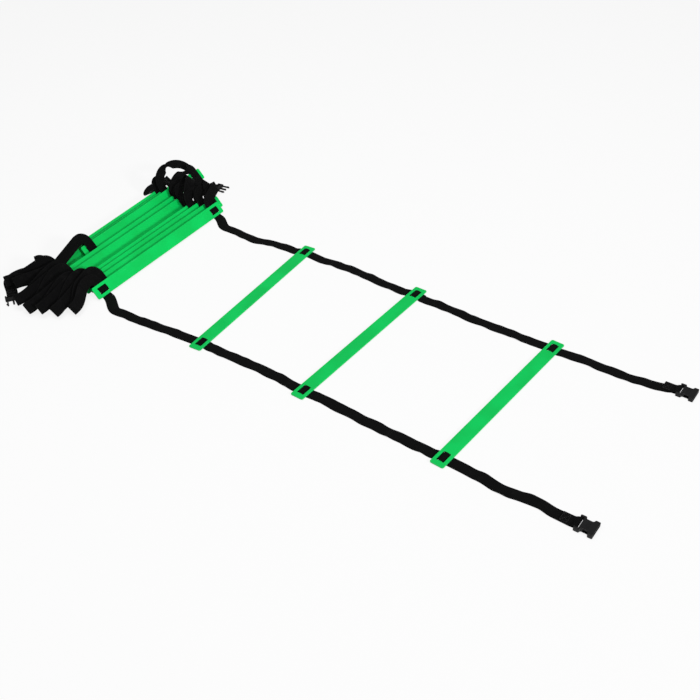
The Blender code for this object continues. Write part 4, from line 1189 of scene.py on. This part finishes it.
def addStitches(name, bar, heading, body):
    # small thread ellipsoids laid end to end along the lines, all as one array
    middles, along = [], []
    for first, second in stitchLines(stitch["boxLength"], webbing["width"] - 2 * stitch["inset"]):
        first, second = np.array(first), np.array(second)
        span = np.linalg.norm(second - first)
        share = (np.arange(int(span / (stitch["length"] + stitch["gap"]))) + 0.5)[:, None]
        middles.append(first + (second - first) * share / len(share))
        along.append(np.tile((second - first) / span * stitch["length"], (len(share), 1)))
    middles, along = np.vstack(middles)[:, None], np.vstack(along)[:, None]
    beside = unit(np.stack((-along[..., 1], along[..., 0]), axis=-1))
    polar, turn = np.meshgrid(np.linspace(0, math.pi, stitch["rings"] + 2),
                              np.linspace(0, 2 * math.pi, stitch["columns"], endpoint=False),
                              indexing="ij")
    radius = np.sin(polar).ravel() * stitch["thickness"]
    length = -np.cos(polar).ravel()[None, :, None] / 2
    sideways, upward = (radius * np.cos(turn).ravel())[None, :, None], radius * np.sin(turn).ravel()
    top = 2 * halfWebbing + layerPitch + stitch["proud"] - stitch["thickness"] / 2
    boxStart = stitch["start"] + stitch["thickness"] - sewnLoop["sewnBack"]
    flat = middles + length * along + sideways * beside
    x = flat[..., 0] + boxStart + stitch["boxLength"] / 2
    points = np.stack((x, flat[..., 1], np.broadcast_to(top + upward, x.shape)), axis=-1)
    quads = gridFaces(np.arange(polar.size).reshape(polar.shape))
    quads = (quads[None] + polar.size * np.arange(len(points))[:, None, None]).reshape(-1, 4)
    if not facesOutward(points[0], quads[:polar.size - stitch["columns"]]):
        quads = quads[:, ::-1]
    mesh = newMesh(name, points.reshape(-1, 3), quads.tolist())
    settle(mesh, bar, 0, heading)
    shape = bmesh.new()
    shape.from_mesh(mesh)
    # the poles become one point each
    bmesh.ops.remove_doubles(shape, verts=shape.verts, dist=stitch["poleTolerance"])
    shape.to_mesh(mesh)
    shape.free()
    mesh = smoothMesh(mesh, stitch["sharpDegrees"])
    return addPiece(name, mesh, body, threadBlack)


for sideName in sides:
    bar = femaleBars[sideName]
    addBuckle(sideName + "SocketBuckle", socketHalf, socketParts, bar, 0, sideName + "_female")
    addStitches(sideName + "EndStitches", bar, 0, sideName + "_end")
    bar, lead = malePlace(sideName)
    heading = math.atan2(lead[1], lead[0])
    addBuckle(sideName + "LatchBuckle", latchHalf, latchParts, bar, heading, sideName + "_male")
    addStitches(sideName + "TailStitches", bar, heading, "folded_stack")
print("buckles and stitches done")


# floor, light and camera

studio = {
    "floorSize": 70.0, "floorColour": (0.86, 0.86, 0.86, 1), "floorRoughness": 0.9,
    "floorSpecular": 0.1, "shadowShare": 0.16, "worldStrength": 0.31,
    "keyPower": 306.0, "keySize": 1.3, "keyPlace": (7.0, -1.0, 3.4),
    "fillPower": 47.0, "fillSize": 2.2, "fillPlace": (-0.1, -0.2, 3.0),
}
photoCamera = {
    "place": (1.51843, -1.32708, 1.26330), "turnDegrees": (51.48461, 0.95933, 35.19344),
    "focalPixels": 974.63, "imagePixels": 700, "sensor": 36.0, "clip": (0.05, 60),
}


def seenDirectly(tree, *kinds):
    # 1 for the camera's rays and for rays of these kinds
    path = addNode(tree, "LightPath").outputs
    seen = Field(tree, path["Is Camera Ray"])
    for kind in kinds:
        seen = seen.solve("MAXIMUM", path[f"Is {kind} Ray"])
    return seen


def addFloor():
    # white floor that glows to the camera and keeps a share of its shadows
    size = studio["floorSize"] / 2
    corners = [(x, y, 0) for x, y in boxOutline(-size, size, size)]
    mesh = newMesh("studioFloor", corners, [(0, 1, 2, 3)])
    floor = linkNew("studioFloor", mesh)
    material, tree, shader = newMaterial("floorWhite")
    fill(tree, shader, {
        "Base Color": studio["floorColour"], "Roughness": studio["floorRoughness"],
        "Specular IOR Level": studio["floorSpecular"],
    })
    glow = addNode(tree, "Emission", (1, 1, 1, 1))
    share = seenDirectly(tree, "Glossy", "Transmission") * (1 - studio["shadowShare"])
    mix = addNode(tree, "MixShader", share, shader.outputs[0], glow.outputs[0])
    put(tree, mix.outputs[0], tree.nodes["Material Output"].inputs[0])
    mesh.materials.append(material)


def addWorld():
    # white to the camera, dimmer as a light
    world = bpy.data.worlds.new("studioWorld")
    bpy.context.scene.world = world
    world.use_nodes = True
    tree = world.node_tree
    dim = studio["worldStrength"]
    strength = seenDirectly(tree, "Transmission") * (1 - dim) + dim
    fill(tree, tree.nodes["Background"], {"Color": (1, 1, 1, 1), "Strength": strength})


def addLamp(kind):
    # round lamp aimed at the origin
    place = Vector(studio[kind + "Place"])
    lamp = bpy.data.lights.new(kind + "Lamp", "AREA")
    lamp.energy, lamp.size = studio[kind + "Power"], studio[kind + "Size"]
    lamp.shape = "DISK"
    holder = linkNew(kind + "Lamp", lamp)
    holder.location = place
    holder.rotation_euler = (-place).to_track_quat("-Z", "Y").to_euler()


def addCamera():
    data = bpy.data.cameras.new("photoCamera")
    data.sensor_width = photoCamera["sensor"]
    data.lens = photoCamera["focalPixels"] / photoCamera["imagePixels"] * photoCamera["sensor"]
    data.clip_start, data.clip_end = photoCamera["clip"]
    camera = linkNew("photoCamera", data)
    camera.location = Vector(photoCamera["place"]) + Vector(shift)
    camera.rotation_euler = [math.radians(angle) for angle in photoCamera["turnDegrees"]]
    bpy.context.scene.camera = camera


addFloor()
addWorld()
addLamp("key")
addLamp("fill")
addCamera()
bpy.context.scene.view_settings.view_transform = "Standard"
print("studio ready")
